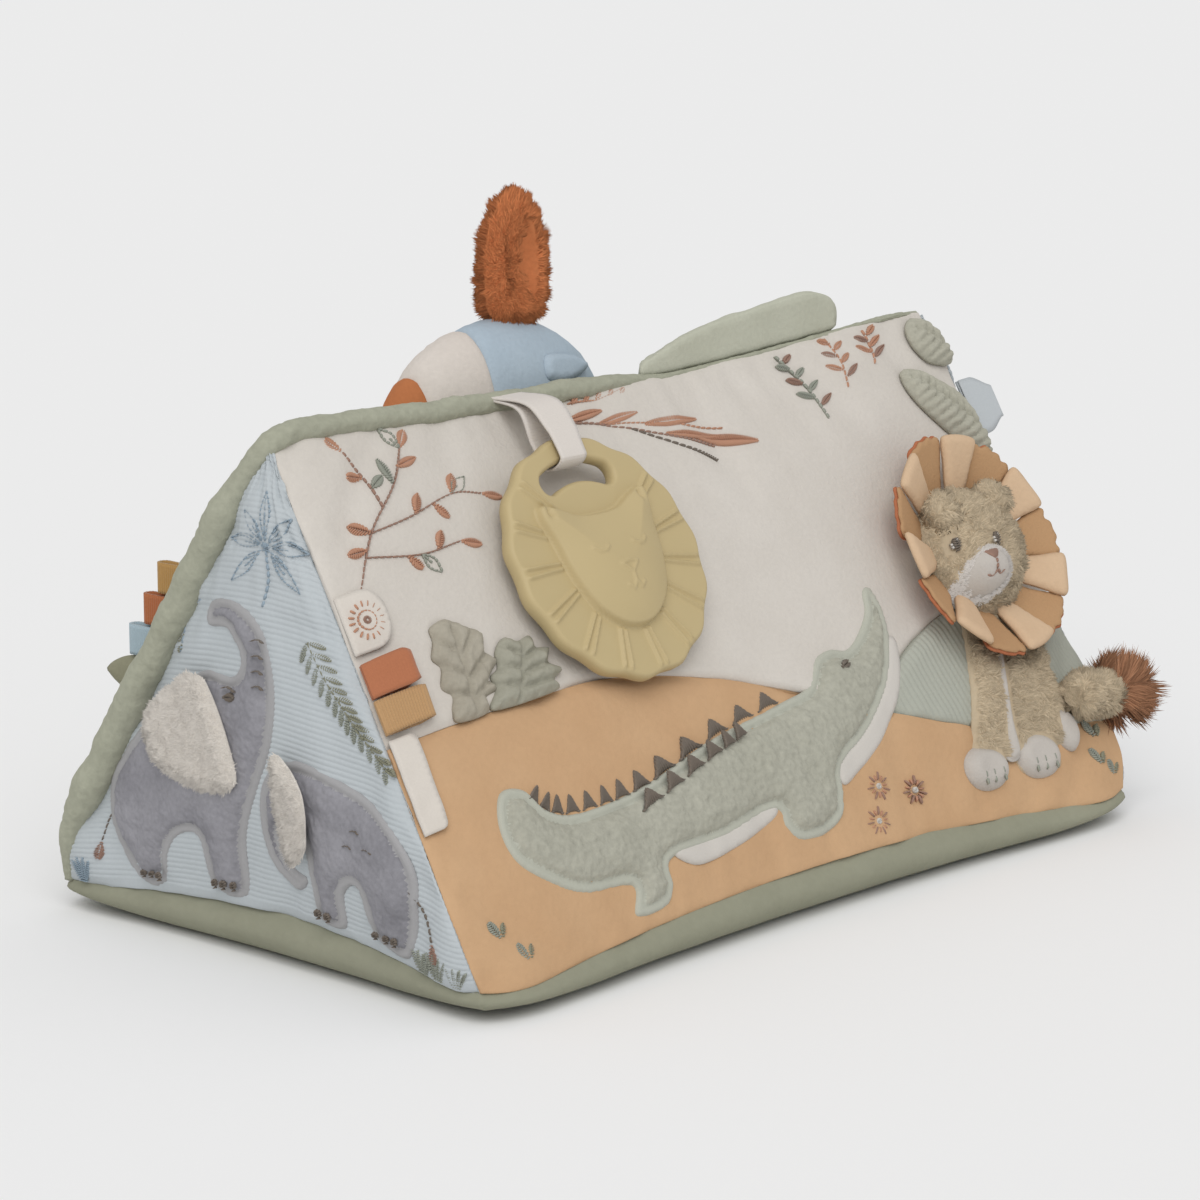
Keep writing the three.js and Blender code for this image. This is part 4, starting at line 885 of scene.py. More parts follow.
def stem(points, tone, width=1.0, stitch=3.0):
    """Back stitches along a curve. Plants are laid out in millimetres."""
    points = np.asarray(points, float)
    run = np.linalg.norm(np.diff(points, axis=0), axis=1).sum()
    line = curve(points, max(int(run / stitch), 2) + 1)
    return [(a, b, width, tone) for a, b in zip(line[:-1], line[1:])]


def satin_leaf(base, tip, width, tone):
    """A leaf filled with slanting stitches on both sides of its midrib."""
    base, tip = np.array(base, float), np.array(tip, float)
    length = np.linalg.norm(tip - base)
    along = (tip - base) / length
    side = np.array([-along[1], along[0]])
    threads = []
    for share in np.arange(0.06, 0.92, 1.1 / length):
        half = width / 2 * np.sin(np.pi * share ** 0.8)
        root = base + along * length * share
        threads += [(root, root + along * half * 0.8 + side * hand * half, 1.3, tone) for hand in (1, -1)]
    return threads


def open_leaf(base, tip, width, tone):
    """A leaf in outline, with its midrib."""
    base, tip = np.array(base, float), np.array(tip, float)
    side = np.array([-(tip - base)[1], (tip - base)[0]]) / np.linalg.norm(tip - base) * width / 2
    middle = (base + tip) / 2
    threads = stem([base, middle + side, tip], tone, 0.9, 2) + stem([base, middle - side, tip], tone, 0.9, 2)
    return threads + stem([base, middle], tone, 0.8, 2)


def stitched(name, place, threads, body, slot):
    """Raised threads, each a closed ridge that dives into the cloth at both ends."""
    start, end = (np.array([t[k] for t in threads]) / 1000 for k in (0, 1))
    width = np.array([t[2] for t in threads]) / 1000
    tone = np.array([thread_tones.index(t[3]) for t in threads])
    share = np.array([0, 0.15, 0.5, 0.85, 1])[:, None]
    taper = np.array([0.4, 0.9, 1, 0.9, 0.4])
    arch = np.array([-0.2, 0.85, 1, 0.85, -0.2])
    way = unit(end - start)
    side = np.stack([-way[:, 1], way[:, 0]], -1)
    middle = start[:, None] + (end - start)[:, None] * share
    offset = side[:, None] * (width[:, None] / 2 * taper)[..., None]
    flat = np.stack([middle + offset, middle, middle - offset], 2)
    high = (THREAD_LIFT + 0.2 * width)[:, None] * arch
    points = place(flat, np.stack([high * 0 - 0.0005, high, high * 0 - 0.0005], -1)).reshape(-1, 3)
    ridge = [(r * 3 + k, r * 3 + (k + 1) % 3, r * 3 + 3 + (k + 1) % 3, r * 3 + 3 + k)
             for r in range(4) for k in range(3)]
    first = np.arange(len(threads))[:, None, None] * 15
    quads = (first + np.array(ridge)).reshape(-1, 4)
    ends = (first + np.array([(0, 2, 1), (12, 13, 14)])).reshape(-1, 3)
    used = sorted(set(tone.tolist()))
    tone = np.array([used.index(k) for k in tone])
    obj = mesh_object(name, points, [quads, ends], [thread_cloth[k] for k in used],
                      np.concatenate([np.repeat(tone, 12), np.repeat(tone, 2)]))
    fit(obj, body, slot)


on_front = on_cover("front")
twig = stem([(16, 182), (34, 206), (58, 226), (72, 243)], "brown", 1.3)
twig += stem([(34, 206), (60, 210), (88, 217), (104, 214)], "brown", 1.2)
twig += stem([(46, 216), (44, 232), (38, 245)], "brown", 1.2)
twig += stem([(26, 196), (56, 192), (80, 194)], "brown", 1.2)
for base, tip, width, tone in (
    ((72, 243), (80, 252), 6, "rust"), ((64, 234), (78, 237), 5, "rust"), ((58, 226), (56, 240), 5, "green"),
    ((38, 245), (32, 253), 6, "rust"), ((44, 232), (34, 234), 5, "rust"), ((45, 226), (54, 231), 5, "green"),
    ((104, 214), (116, 210), 5, "rust"), ((88, 217), (94, 227), 6, "rust"), ((74, 214), (80, 205), 5, "rust"),
    ((62, 210), (68, 220), 5, "rust"), ((80, 194), (92, 190), 5, "rust"), ((66, 192), (72, 201), 5, "rust"),
    ((48, 193), (54, 185), 5, "rust"), ((34, 206), (24, 212), 6, "rust"), ((28, 199), (17, 199), 5, "rust"),
):
    twig += satin_leaf(base, tip, width, tone)
for base, tip in (((88, 217), (100, 224)), ((56, 192), (63, 182)), ((72, 243), (66, 254))):
    twig += open_leaf(base, tip, 6, "green")
stitched("twig_stitches", on_front, twig, "wedge", "cream_plush")

grasses = stem([(162, 246), (196, 238), (236, 224), (262, 214)], "brown", 1.2)
grasses += stem([(196, 238), (232, 232), (272, 222)], "rust", 1.1)
grasses += stem([(214, 232), (246, 214), (258, 206)], "dark", 1.0)
for base, tip, width in (
    ((178, 243), (206, 245), 5), ((196, 238), (226, 240), 5), ((222, 233), (262, 230), 6),
    ((250, 221), (292, 210), 7), ((232, 226), (270, 218), 5),
):
    grasses += satin_leaf(base, tip, width, "rust")
grasses += stem([(186, 252), (206, 251), (224, 254)], "rust", 0.9, 2)
for spot in range(5):
    grasses += satin_leaf((188 + 8 * spot, 251.5), (193 + 8 * spot, 254), 2.6, "rust")
for foot, top, tone, count in (((342, 213), (330, 252), "green", 7), ((366, 226), (368, 254), "rust", 6),
                               ((392, 234), (396, 253), "rust", 5)):
    foot, top = np.array(foot, float), np.array(top, float)
    grasses += stem([foot, (foot + top) / 2 + (3, 0), top], tone, 1.1)
    for k in range(count):
        root = foot + (top - foot) * (0.2 + 0.8 * k / count) + (2.5, 0)
        reach = 12 - 5 * k / count
        tip = root + (reach * (-1) ** k, reach * 0.45)
        grasses += satin_leaf(root, tip, 3.4, tone if k % 3 else "brown")
stitched("grass_stitches", on_front, grasses, "wedge", "cream_plush")

ground_plants = []
for centre in ((272, 30), (296, 24), (266, 14)):
    for k in range(14):
        ray = np.array([np.cos(k * 0.449), np.sin(k * 0.449)])
        far = 7.5 if k % 2 else 5.8
        ground_plants.append((centre + ray * 2.6, centre + ray * far, 1.1, "brown" if k % 2 else "rust"))
        ground_plants.append((np.array(centre), centre + ray * 1.6, 0.8, "white"))
for foot in ((22, 26), (33, 13), (428, 20), (438, 13), (432, 34)):
    ground_plants += satin_leaf(foot, (foot[0] - 4, foot[1] + 9), 4.5, "green")
    ground_plants += satin_leaf((foot[0] + 1.5, foot[1]), (foot[0] + 4.5, foot[1] + 6), 3.4, "olive")
stitched("ground_stitches", on_front, ground_plants, "wedge", "peach_velour")

spray = np.array([6, 172])
near_plants = stem([(6, 146), (9, 160), spray], "blue", 1.4)
for turn in (0.35, 1.0, 1.6, 2.15, 2.8, 3.7, -0.5):
    way = np.array([np.cos(turn), np.sin(turn)])
    tip = spray + way * (23 if abs(way[1]) < 0.9 else 27) + (0, -5 * abs(way[0]))
    near_plants += stem([spray, spray + way * 12 + (0, 2), tip], "blue", 1.1)
    near_plants += open_leaf(spray + way * 4, tip, 5, "blue")
fern = curve([(30, 136), (44, 118), (58, 104), (76, 88)], 14)
near_plants += stem(fern[::4], "olive", 1.2)
for k, root in enumerate(fern[:-1]):
    way = unit(fern[k + 1] - root)
    for hand in (1, -1):
        side = np.array([-way[1], way[0]]) * hand
        tip = root + way * 7 + side * (9 - 0.4 * k)
        near_plants += satin_leaf(root, tip, 3.0, "olive" if hand > 0 else "green")
for x, tall, tone in ((-110, 15, "blue"), (92, 12, "green"), (102, 14, "green"), (115, 12, "green")):
    for lean in (-7, -2.5, 2, 6):
        near_plants += satin_leaf((x + 0.3 * lean, 3), (x + lean, 3 + tall - 0.3 * abs(lean)), 2.2, tone)
near_plants += stem([(-36, 146), (-44, 138), (-48, 120)], "blue", 1.1)
for k, root in enumerate(curve([(-38, 144), (-44, 138), (-47, 124)], 7)):
    near_plants += satin_leaf(root, root + np.array([-9 + k, -4]), 2.8, "olive")
for x, y in ((-84, 45), (86, 40)):
    near_plants += stem([(x, y), (x + np.sign(x) * 8, y - 8), (x + np.sign(x) * 13, y - 20)], "dark", 1.3)
    near_plants += satin_leaf((x + np.sign(x) * 13, y - 20), (x + np.sign(x) * 15, y - 30), 6, "brown")
stitched("near_end_stitches", on_near, near_plants, "wedge", "blue_rib")


def above(place, rise):
    return lambda flat, lift: place(flat, lift + rise)


elephant_marks = []
for x, y in (
    (-70, 11), (-65, 11), (-60, 11), (-27, 12), (-22, 12), (-17, 12), (35, 12), (40, 12), (67, 12), (73, 12),
    (78, 12),
):
    elephant_marks += satin_leaf((x, y - 2), (x, y + 3), 3.2, "dark")
for x, y in ((-11, 103), (21, 64)):
    elephant_marks += satin_leaf((x - 3, y), (x + 3.5, y + 0.5), 4.4, "dark")
    elephant_marks += stem([(x - 4, y + 4), (x, y + 5), (x + 4, y + 3)], "dark", 0.8, 2)
for y in (110, 117, 124, 131):
    elephant_marks += stem([(3, y), (7, y + 1.5), (10, y)], "dark", 0.7, 2)
for x, y in ((60, 58), (68, 52), (56, 50)):
    elephant_marks += stem([(x - 3, y), (x, y + 1), (x + 3, y)], "dark", 0.7, 2)
stitched("elephant_marks", above(on_near, 0.0042), elephant_marks, "wedge", "grey_plush")

# Crocodile: sage fleece sewn on the front inside a smooth border, padded along its back, with white cloth
# under its belly and throat and two rows of dark stitched scales.
FLEECE = "#a6a598"
FLEECE_BORDER = "#adaea1"
BELLY_WHITE = "#c4bfb8"
CROCODILE = [
    (4.7, 8.2), (6, 8), (6.9, 6.8), (8.6, 6.2), (12.8, 6.3), (18, 7.4), (23, 8.1), (24.9, 8.5), (26.1, 9.7),
    (27.3, 10), (28.4, 9.8), (29.6, 10.4), (30.7, 11.4), (31.1, 12.4), (31.7, 12.5), (31.9, 11.2),
    (31.4, 9.6), (30, 7.6), (27.6, 5.7), (25.2, 4.4), (24.8, 3.2), (24.3, 2.1), (22.9, 1.5), (21.2, 1.6),
    (20.5, 2.4), (20.1, 3.3), (16.4, 2.8), (13.2, 2.8), (12.9, 1.6), (12.2, 0.9), (10.2, 1), (10.4, 2.3),
    (7.6, 2.8), (5.8, 3.8), (4.3, 5.2), (4, 6.8),
]
BELLY = [(13.4, 3.1), (16.4, 3.1), (20, 3.6), (20, 2.9), (17, 2.2), (14.6, 2.1)]
THROAT = [(25, 4.5), (27.4, 5.8), (29.9, 7.8), (31.3, 9.8), (31.9, 9.6), (31, 7.6), (28.8, 5.4), (26.2, 3.9),
          (25, 3.5)]


def rounded(high, reach, least=0.0, rest=0.0):
    """Heights that round up by high, within reach of the edge, from rest."""
    return lambda flat, edge: rest + high * np.sqrt(np.clip(edge / reach, least, 1))


fleece = plush("croc_fleece", FLEECE, tuft=0.0026, spread=0.2, depth=0.0012)
fleece_border = satin("croc_border", FLEECE_BORDER)
belly_cloth = satin("belly_cloth", BELLY_WHITE)
crocodile, *_ = pad("crocodile_body", [outline(CROCODILE, 0.0016)], 0.0013, on_front,
                    applique_top(0.0052, 61, tuft=0.0007), sunk(0.0004), [fleece_border, fleece], bordered)
fit(crocodile, "wedge", "croc_plush", "crocodile")
for name, points, *nodes in (("crocodile_underside", BELLY, "crocodile_belly"), ("crocodile_throat", THROAT)):
    strip, *_ = pad(name, [outline(points, 0.0014)], 0.0018, on_front, rounded(0.0016, 0.0025, 0.05),
                    sunk(0.0003), [belly_cloth])
    fit(strip, "wedge", "white_plush", *nodes)


def spikes(line, tall):
    """A row of pointed scales in satin stitch, one between each two places of a line."""
    threads = []
    for a, b in zip(line[:-1], line[1:]):
        way = unit(b - a)
        upward = np.array([-way[1], way[0]]) * tall
        for share in np.linspace(0.02, 0.98, 11):
            root = a + (b - a) * (0.06 + 0.88 * share)
            lean = ((a + b) / 2 - root) * 0.45
            threads.append((root, root + lean + upward * (1 - abs(2 * share - 1) ** 1.7), 1.4, "dark"))
    return threads


back_line = curve([(60, 76), (74, 64.5), (100, 61.5), (130, 63), (180, 74.5), (228, 81.5)], 14)
inner_line = curve([(118, 52), (150, 60), (178, 67), (196, 71)], 7)
# The white stitch in the crocodile's dark eye is a painted highlight.
croc_eye = satin_leaf((271, 89), (277, 91), 4.5, "dark") + stem([(272.5, 90.6), (274, 91)], "white", 0.8, 1)
stitched("crocodile_spikes", above(on_front, 0.0004), spikes(back_line, 9), "wedge", "croc_plush")
croc_marks = spikes(inner_line, 8) + croc_eye
stitched("crocodile_back_marks", above(on_front, 0.0048), croc_marks, "wedge", "croc_plush")

# Bush: two quilted sage plush leaves with sewn veins. Only their lower edges are sewn in, in the line
# between sky and ground, so that they lift as flaps.
BUSH_SAGE = {"bush_leaf_left": "#a19b8d", "bush_leaf_right": "#9c9a8c"}
BUSH = {
    "bush_leaf_left": [
        (3.9, 11.65), (5.6, 11.65), (5.8, 12.3), (6.6, 12.5), (6.4, 13.1), (7.1, 13.7), (6.7, 14.3),
        (6.9, 15.1), (6.1, 15.6), (5.2, 16.1), (4.3, 15.9), (4.2, 15.3), (3.8, 14.6), (4.1, 14.1),
        (3.7, 13.3), (4.1, 12.8), (3.8, 12.2),
    ],
    "bush_leaf_right": [
        (6, 11.65), (9.8, 11.65), (10, 12.2), (10.5, 12.5), (10, 13), (10.3, 13.6), (9.6, 13.8), (9.5, 14.4),
        (8.7, 14.3), (8, 14.6), (7.3, 14.1), (7.1, 13.4), (6.5, 13.1), (6.5, 12.5),
    ],
}
BUSH_VEINS = {
    "bush_leaf_left": [
        ((4.9, 11.6), (5.3, 15.6)), ((5, 12.4), (6.4, 13)), ((5.1, 13.3), (6.7, 14.2)),
        ((5.2, 14.3), (6.3, 15.3)), ((5, 12.6), (4, 12.9)), ((5.1, 13.5), (4, 14.2)),
        ((5.2, 14.5), (4.2, 15.3)),
    ],
    "bush_leaf_right": [
        ((7.4, 11.6), (8.9, 14.2)), ((7.7, 12.2), (10, 12.2)), ((8.1, 12.8), (10, 13)),
        ((8.4, 13.4), (9.6, 13.8)), ((7.7, 12.4), (6.5, 12.6)), ((8.1, 13.1), (7, 13.5)),
        ((8.4, 13.7), (7.6, 14.3)),
    ],
}
LEAF_CLEAR = 0.0006
for seed, (name, points) in enumerate(BUSH.items()):
    veins = [np.array(v) * SQUARE for v in BUSH_VEINS[name]]

    def leaf_top(flat, edge):
        x, y = flat[:, 0], flat[:, 1]
        vein = np.min([ring_distance(flat, [v]) for v in veins], axis=0)
        puff = 0.0052 * np.sqrt(np.clip(edge / 0.004, 0.08, 1)) * (1 - 0.55 * np.exp(-(vein / 0.0014) ** 2))
        nap, waves = 0.0006 * drift(x, y, 0.002, 71 + seed), 0.0006 * drift(x, y, 0.006, 73 + seed)
        return LEAF_CLEAR + puff + nap + waves

    leaf_plush = plush(f"{name}_plush", BUSH_SAGE[name], tuft=0.0018, spread=0.12)
    leaf, *_ = pad(f"{name}_quilted", [outline(points, 0.0012)], 0.0011, on_front, leaf_top,
                   sunk(-LEAF_CLEAR), [leaf_plush])
    fit(leaf, name, "leaf_cloth", name)

# Teether: a lion's face on a disc, moulded in one piece in ochre silicone, with ribs for a mane and a slot
# under its rim. The ribbon runs through the slot, so that the disc swings freely on it.
TEETHER_X, TEETHER_DOWN = 0.149, 0.092
TEETHER_RADIUS = 0.0578
TEETHER_THICK = 0.008
TEETHER_ROUND = 0.0020
TEETHER_PAIRS = 15
TEETHER_RIM = 0.0102
TEETHER_CLEAR = 0.0045
RIM_SCALLOP = 0.0008
RIB_HIGH, MARK_HIGH = 0.0017, 0.0009
FACE_STEP, FACE_DOME = 0.0036, 0.0060
MOULDED_EAR = (0.0298, 0.0240)
SLOT_IN, SLOT_OUT, SLOT_TURN = 0.0370, TEETHER_RADIUS - TEETHER_RIM, 0.44
OCHRE = "#b8a67c"
SHIELD = [
    (0, 2.0), (1.3, 2.1), (2.4, 2.6), (3.25, 2.85), (3.5, 2.3), (3.2, 1), (2.95, -0.6), (2.3, -2.2),
    (1.2, -3.2), (0, -3.5), (-1.2, -3.2), (-2.3, -2.2), (-2.95, -0.6), (-3.2, 1), (-3.5, 2.3),
    (-3.25, 2.85), (-2.4, 2.6), (-1.3, 2.1),
]
silicone, silicone_shader = plain("ochre_silicone", OCHRE, 0.55)
silicone_shader.inputs["Specular IOR Level"].default_value = 0.35
speckle(silicone, silicone_shader, OCHRE, 0.02, 0.03, 0.05, 0.0002)


def board(origin, across, up):
    """A function that puts flat places, at a height, on a rigid frame."""
    out = np.cross(across, up)
    return lambda flat, lift: (origin + flat[..., :1] * across + flat[..., 1:2] * up
                               + np.asarray(lift)[..., None] * out)


front_side = SIDES["front"]
turn = np.linspace(0, 2 * np.pi, 300, endpoint=False)
rim_reach = TEETHER_RADIUS + RIM_SCALLOP * np.cos(TEETHER_PAIRS * turn)
rim_ring = np.stack([np.cos(turn), np.sin(turn)], -1) * rim_reach[:, None]
arc = np.linspace(-SLOT_TURN, SLOT_TURN, 24)
slot_half = (SLOT_OUT - SLOT_IN) / 2
cap = np.linspace(0, np.pi, 14)[1:-1]
slot_ring = [SLOT_OUT * np.stack([np.sin(-arc), np.cos(arc)], -1)]
for hand in (-1, 1):
    middle = (SLOT_IN + slot_half) * np.array([np.sin(hand * SLOT_TURN), np.cos(SLOT_TURN)])
    spoke = unit(middle)
    tangent = np.array([spoke[1], -spoke[0]]) * hand
    round_end = np.cos(cap)[:, None] * spoke * -hand + np.sin(cap)[:, None] * tangent
    slot_ring.append(middle + slot_half * round_end)
    if hand == -1:
        slot_ring.append(SLOT_IN * np.stack([np.sin(arc), np.cos(arc)], -1))
slot_ring = evenly(np.vstack(slot_ring), 0.0011)
shield_ring = outline(SHIELD, 0.0012)
face_lines = [np.array(points) / 1000 for points in (
    [(-17, 3), (-14.5, 1), (-11, 0.6), (-8, 2.4)], [(8, 2.4), (11, 0.6), (14.5, 1), (17, 3)],
    [(-5, -7), (0, -6), (5, -7)], [(-5, -7), (0, -11.5), (5, -7)], [(0, -11.5), (0, -16)],
    [(-5, -17), (-2.5, -19), (0, -16)], [(0, -16), (2.5, -19), (5, -17)])]


def open_distance(points, lines):
    """How far each place is from the nearest of some open lines."""
    best = np.full(len(points), 1e9)
    for line in lines:
        for a, b in zip(line[:-1], line[1:]):
            t = np.clip(((points - a) @ (b - a)) / ((b - a) @ (b - a)), 0, 1)[:, None]
            best = np.minimum(best, np.linalg.norm(points - a - (b - a) * t, axis=1))
    return best


def teether_top(flat, edge):
    r, angle = np.linalg.norm(flat, axis=1), np.arctan2(flat[:, 1], flat[:, 0])
    high = TEETHER_THICK - TEETHER_ROUND * (1 - np.clip(edge / TEETHER_ROUND, 0, 1)) ** 2
    pitch = 2 * np.pi / TEETHER_PAIRS
    off = np.abs((angle / pitch) % 1 - 0.5) * pitch
    inside = ring_distance(flat, [shield_ring]) * np.where(within(flat, [shield_ring]), 1, -1)
    ribs = np.exp(-((np.abs(off - 0.040) * r) / 0.0008) ** 2) * (1 - smooth(-0.0022, -0.0004, inside))
    ribs = ribs * (1 - smooth(0.053, 0.0565, r)) * smooth(0.55, 0.75, np.abs(angle - np.pi / 2))
    high = high + RIB_HIGH * ribs * smooth(0.001, 0.003, edge)
    dome = 1 - (1 - np.clip(inside / 0.026, 0, 1)) ** 2
    face = FACE_STEP * smooth(-0.0004, 0.0012, inside) + FACE_DOME * dome
    ear_x, ear_y = MOULDED_EAR
    for hand in (-1, 1):
        hollow = np.hypot((flat[:, 0] - hand * ear_x) / 0.0016, (flat[:, 1] - ear_y) / 0.0027)
        face = face - 0.0026 * np.exp(-hollow ** 2)
    marks = MARK_HIGH * np.exp(-(open_distance(flat, face_lines) / 0.0008) ** 2)
    return high + face * smooth(0, 0.002, edge) + marks


def teether_bottom(flat, edge):
    return TEETHER_ROUND * (1 - np.clip(edge / TEETHER_ROUND, 0, 1)) ** 2


teether_y = SLOPE - TEETHER_DOWN
span = np.linspace(-0.05, 0.05, 9)
under = np.stack(np.meshgrid(span + TEETHER_X, span + teether_y), -1)
cover_high = ((on_front(under, np.zeros(under.shape[:2])) - front_side["origin"]) @ front_side["out"]).max()
teether_high = cover_high + TEETHER_CLEAR
teether_origin = (front_side["origin"] + front_side["across"] * TEETHER_X + front_side["up"] * teether_y
                  + front_side["out"] * teether_high)
on_teether = board(teether_origin, front_side["across"], front_side["up"])
teether, *_ = pad("teether_lion", [rim_ring, slot_ring], 0.00075, on_teether,
                  teether_top, teether_bottom, [silicone])
fit(teether, "teether", "silicone", "teether")

# Ribbon of the teether: woven cream tape, sewn into the ridge seam by both ends. It runs down to the slot,
# round the rim and back.
TAPE_WIDTH = 0.020
TAPE_THICK = 0.0011
TAPE_ROOM = 0.0067
TAPE_CREAM = "#d2cbc4"


def woven(name, colour, spread=0.06):
    """Close woven tape: fine cross threads over its length."""
    material, shader = plain(name, colour, 0.75)
    shader.inputs["Specular IOR Level"].default_value = 0.2
    shader.inputs["Sheen Weight"].default_value = 0.2
    speckle(material, shader, colour, 0.0008, spread, 0.4, 0.0003)
    return material


def tape(name, place, run, spread, thick, cloth, rib=0.0, pitch=0.0013):
    """A ribbon along run, which says how far out and how high it is, between two flat places across it."""
    turned = np.gradient(run, axis=0)
    square_to = unit(np.stack([-turned[:, 1], turned[:, 0]], -1))
    far = run_along(run)
    half = thick / 2 * (1 + rib * np.sin(2 * np.pi * far / pitch))[:, None]
    across = np.linspace(spread[0], spread[1], 9)
    sides = []
    for line in (run + square_to * half, run - square_to * half):
        flat = np.stack(np.broadcast_arrays(line[:, None, 0], across[None]), -1)
        sides.append(place(flat, np.broadcast_to(line[:, None, 1], flat.shape[:2])))
    return closed_sheet(name, sides[0].transpose(1, 0, 2), sides[1].transpose(1, 0, 2), [cloth]), far[-1]


root_y = SLOPE - 0.003
tape_root = on_front(np.array([[TEETHER_X, root_y]]), np.array([0.002]))
root_high = ((tape_root - front_side["origin"]) @ front_side["out"])[0]
rim_y = teether_y + TEETHER_RADIUS - TEETHER_RIM / 2
rim_high = teether_high + TEETHER_THICK / 2
hook = np.linspace(-np.pi / 2, np.pi / 2, 15)
tape_down = curve([(root_y, root_high + 0.0008), (rim_y + 0.024, rim_high + 0.001),
                   (rim_y + 0.007, rim_high + TAPE_ROOM)], 40)
tape_turn = np.stack([rim_y - TAPE_ROOM * 0.6 - np.cos(hook) * TAPE_ROOM * 0.5,
                      rim_high + np.sin(hook) * TAPE_ROOM], -1)
tape_home = curve([(rim_y + 0.007, rim_high - TAPE_ROOM), (rim_y + 0.024, rim_high - 0.0052),
                   (root_y, root_high - 0.0005)], 40)
tape_run = np.vstack([tape_down[:-1], tape_turn[::-1], tape_home[1:]])
tape_at = np.linspace(0, len(tape_run) - 1, 260)
tape_run = np.stack([np.interp(tape_at, np.arange(len(tape_run)), tape_run[:, k]) for k in (0, 1)], -1)


def on_tape(flat, lift):
    y, x = flat[..., 0], flat[..., 1]
    pinch = 1 - 0.18 * smooth(rim_y + 0.02, rim_y - 0.002, y)
    return (front_side["origin"] + (TEETHER_X + x * pinch)[..., None] * front_side["across"]
            + y[..., None] * front_side["up"] + np.asarray(lift)[..., None] * front_side["out"])


tape_cloth = woven("cream_tape", TAPE_CREAM)
ribbon, tape_length = tape("teether_tape", on_tape, tape_run, (-TAPE_WIDTH / 2, TAPE_WIDTH / 2), TAPE_THICK,
                           tape_cloth, 0.12)
fit(ribbon, "teether_ribbon", "cream_ribbon", "teether_ribbon")

# Lion: plush legs and white paws sewn on the front, and a stuffed head with curly fawn pile, round ears, a
# white muzzle and a stitched face that looks a little to the near end.
LION_X, LION_Y, LION_LIFT = 0.388, 0.131, 0.0046
HEAD_RADIUS, HEAD_DEPTH = 0.0305, 0.022
FAWN = "#b9a990"
PAW_WHITE = "#b9b3ac"
MUZZLE_WHITE = "#d4cec8"
LEGS = [
    (33.6, 2.2), (35.5, 2), (36.5, 3.2), (37.2, 2.1), (39.5, 2.1), (40, 3.2), (41, 3.4), (41.1, 4.8),
    (41.7, 8.1), (41.2, 12), (39.4, 13.4), (37.6, 12), (36.3, 8.5), (35.3, 6),
]
LEG_GAP = [(36, 3), (37, 3), (37.4, 5), (38.8, 8.6), (38.2, 8.8), (36.8, 5.4)]
PAWS = {"left": (34.6, 2.7, 1.45, 1.1), "right": (38.3, 2.9, 1.5, 1.15), "behind": (40.9, 3.9, 0.9, 1.1)}
PAW_HIGH = {"left": 0.0064, "right": 0.0064, "behind": 0.0052}
MUZZLE = (-0.0120, -0.0160, 0.0135, 0.0118, 0.0078)
EYES = ((-0.0245, 0.0012, 2.8), (-0.0036, -0.0018, 4.0))
LION_EARS = {"lion_ear_left": (-0.0205, 0.0180, 0.0125), "lion_ear_right": (0.0165, 0.0190, 0.0145)}
EAR_BALL = (0.0084, 0.0084, 0.0062)


def seat(side, x, y, lift, reach=0.020):
    """A rigid frame that stands on a panel, square to the cloth there."""
    spots = np.array([(x, y), (x + reach, y), (x - reach, y), (x, y + reach), (x, y - reach)])
    p, right, left, upper, lower = on_cover(side)(spots, np.zeros(5))
    along = unit(right - left)
    out = unit(np.cross(along, upper - lower))
    return p + out * lift, along, np.cross(out, along), out


def ball(place, centre, radii, rows=16, columns=28):
    """A stuffed ball in a frame, as places and faces."""
    levels, spokes = np.linspace(0, np.pi, rows), np.linspace(0, 2 * np.pi, columns, endpoint=False)
    up, turn = np.meshgrid(levels, spokes, indexing="ij")
    local = np.stack([np.sin(up) * np.cos(turn), np.sin(up) * np.sin(turn), np.cos(up)], -1)
    local = local * radii + centre
    points = place(local[1:-1, :, :2].reshape(-1, 2), local[1:-1, :, 2].ravel())
    poles = place(local[[0, -1], 0, :2], local[[0, -1], 0, 2])
    walls, caps = tube_faces(rows - 2, columns)
    return np.vstack([points, poles]), [walls[:, [0, 3, 2, 1]], caps[:, [0, 2, 1]]]


def triangles_of(faces):
    return np.concatenate([faces[0][:, :3], faces[0][:, [0, 2, 3]], faces[1]])


def oval(cx, cy, rx, ry, spacing):
    turn = np.linspace(0, 2 * np.pi, 80, endpoint=False)
    return evenly(np.stack([cx + rx * np.cos(turn), cy + ry * np.sin(turn)], -1), spacing)


fawn_plush = plush("fawn_plush", FAWN, spread=0.1)
fawn_strands = strands("fawn_strands", FAWN, 0.2)
paw_cloth = plush("paw_cloth", PAW_WHITE, tuft=0.0012, spread=0.04)
muzzle_strands = strands("muzzle_strands", MUZZLE_WHITE, 0.06)
legs, flat, triangles, edge, upper = pad(
    "lion_legs", [outline(LEGS, 0.0016)], 0.0018, on_front, rounded(0.0044, 0.006, 0.03),
    sunk(0.0004), [fawn_plush])
fit(legs, "wedge", "lion_plush", "lion_body")
paw_rings = {name: oval(cx * SQUARE, cy * SQUARE, rx * SQUARE, ry * SQUARE, 0.0014)
             for name, (cx, cy, rx, ry) in PAWS.items()}
gap_ring = outline(LEG_GAP, 0.0014)
covered = triangles[edge[triangles].min(1) > 0.0008]
roots, out, chosen = scattered(upper, covered, 3.4e6, 83)
spot = flat[covered[chosen]].mean(1)
furry = ~np.any([within(spot, [ring]) for ring in [*paw_rings.values(), gap_ring]], axis=0)
roots, out = roots[furry], out[furry]
toss, reach = locks(roots, 420, 0.6, 83)
leg_pile = pile("lion_leg_pile", roots, out, 0.0046 * reach, 0.0008, fawn_strands, 83,
                lean=toss - 0.4 * front_side["up"])
fit(leg_pile, "wedge", "lion_plush")
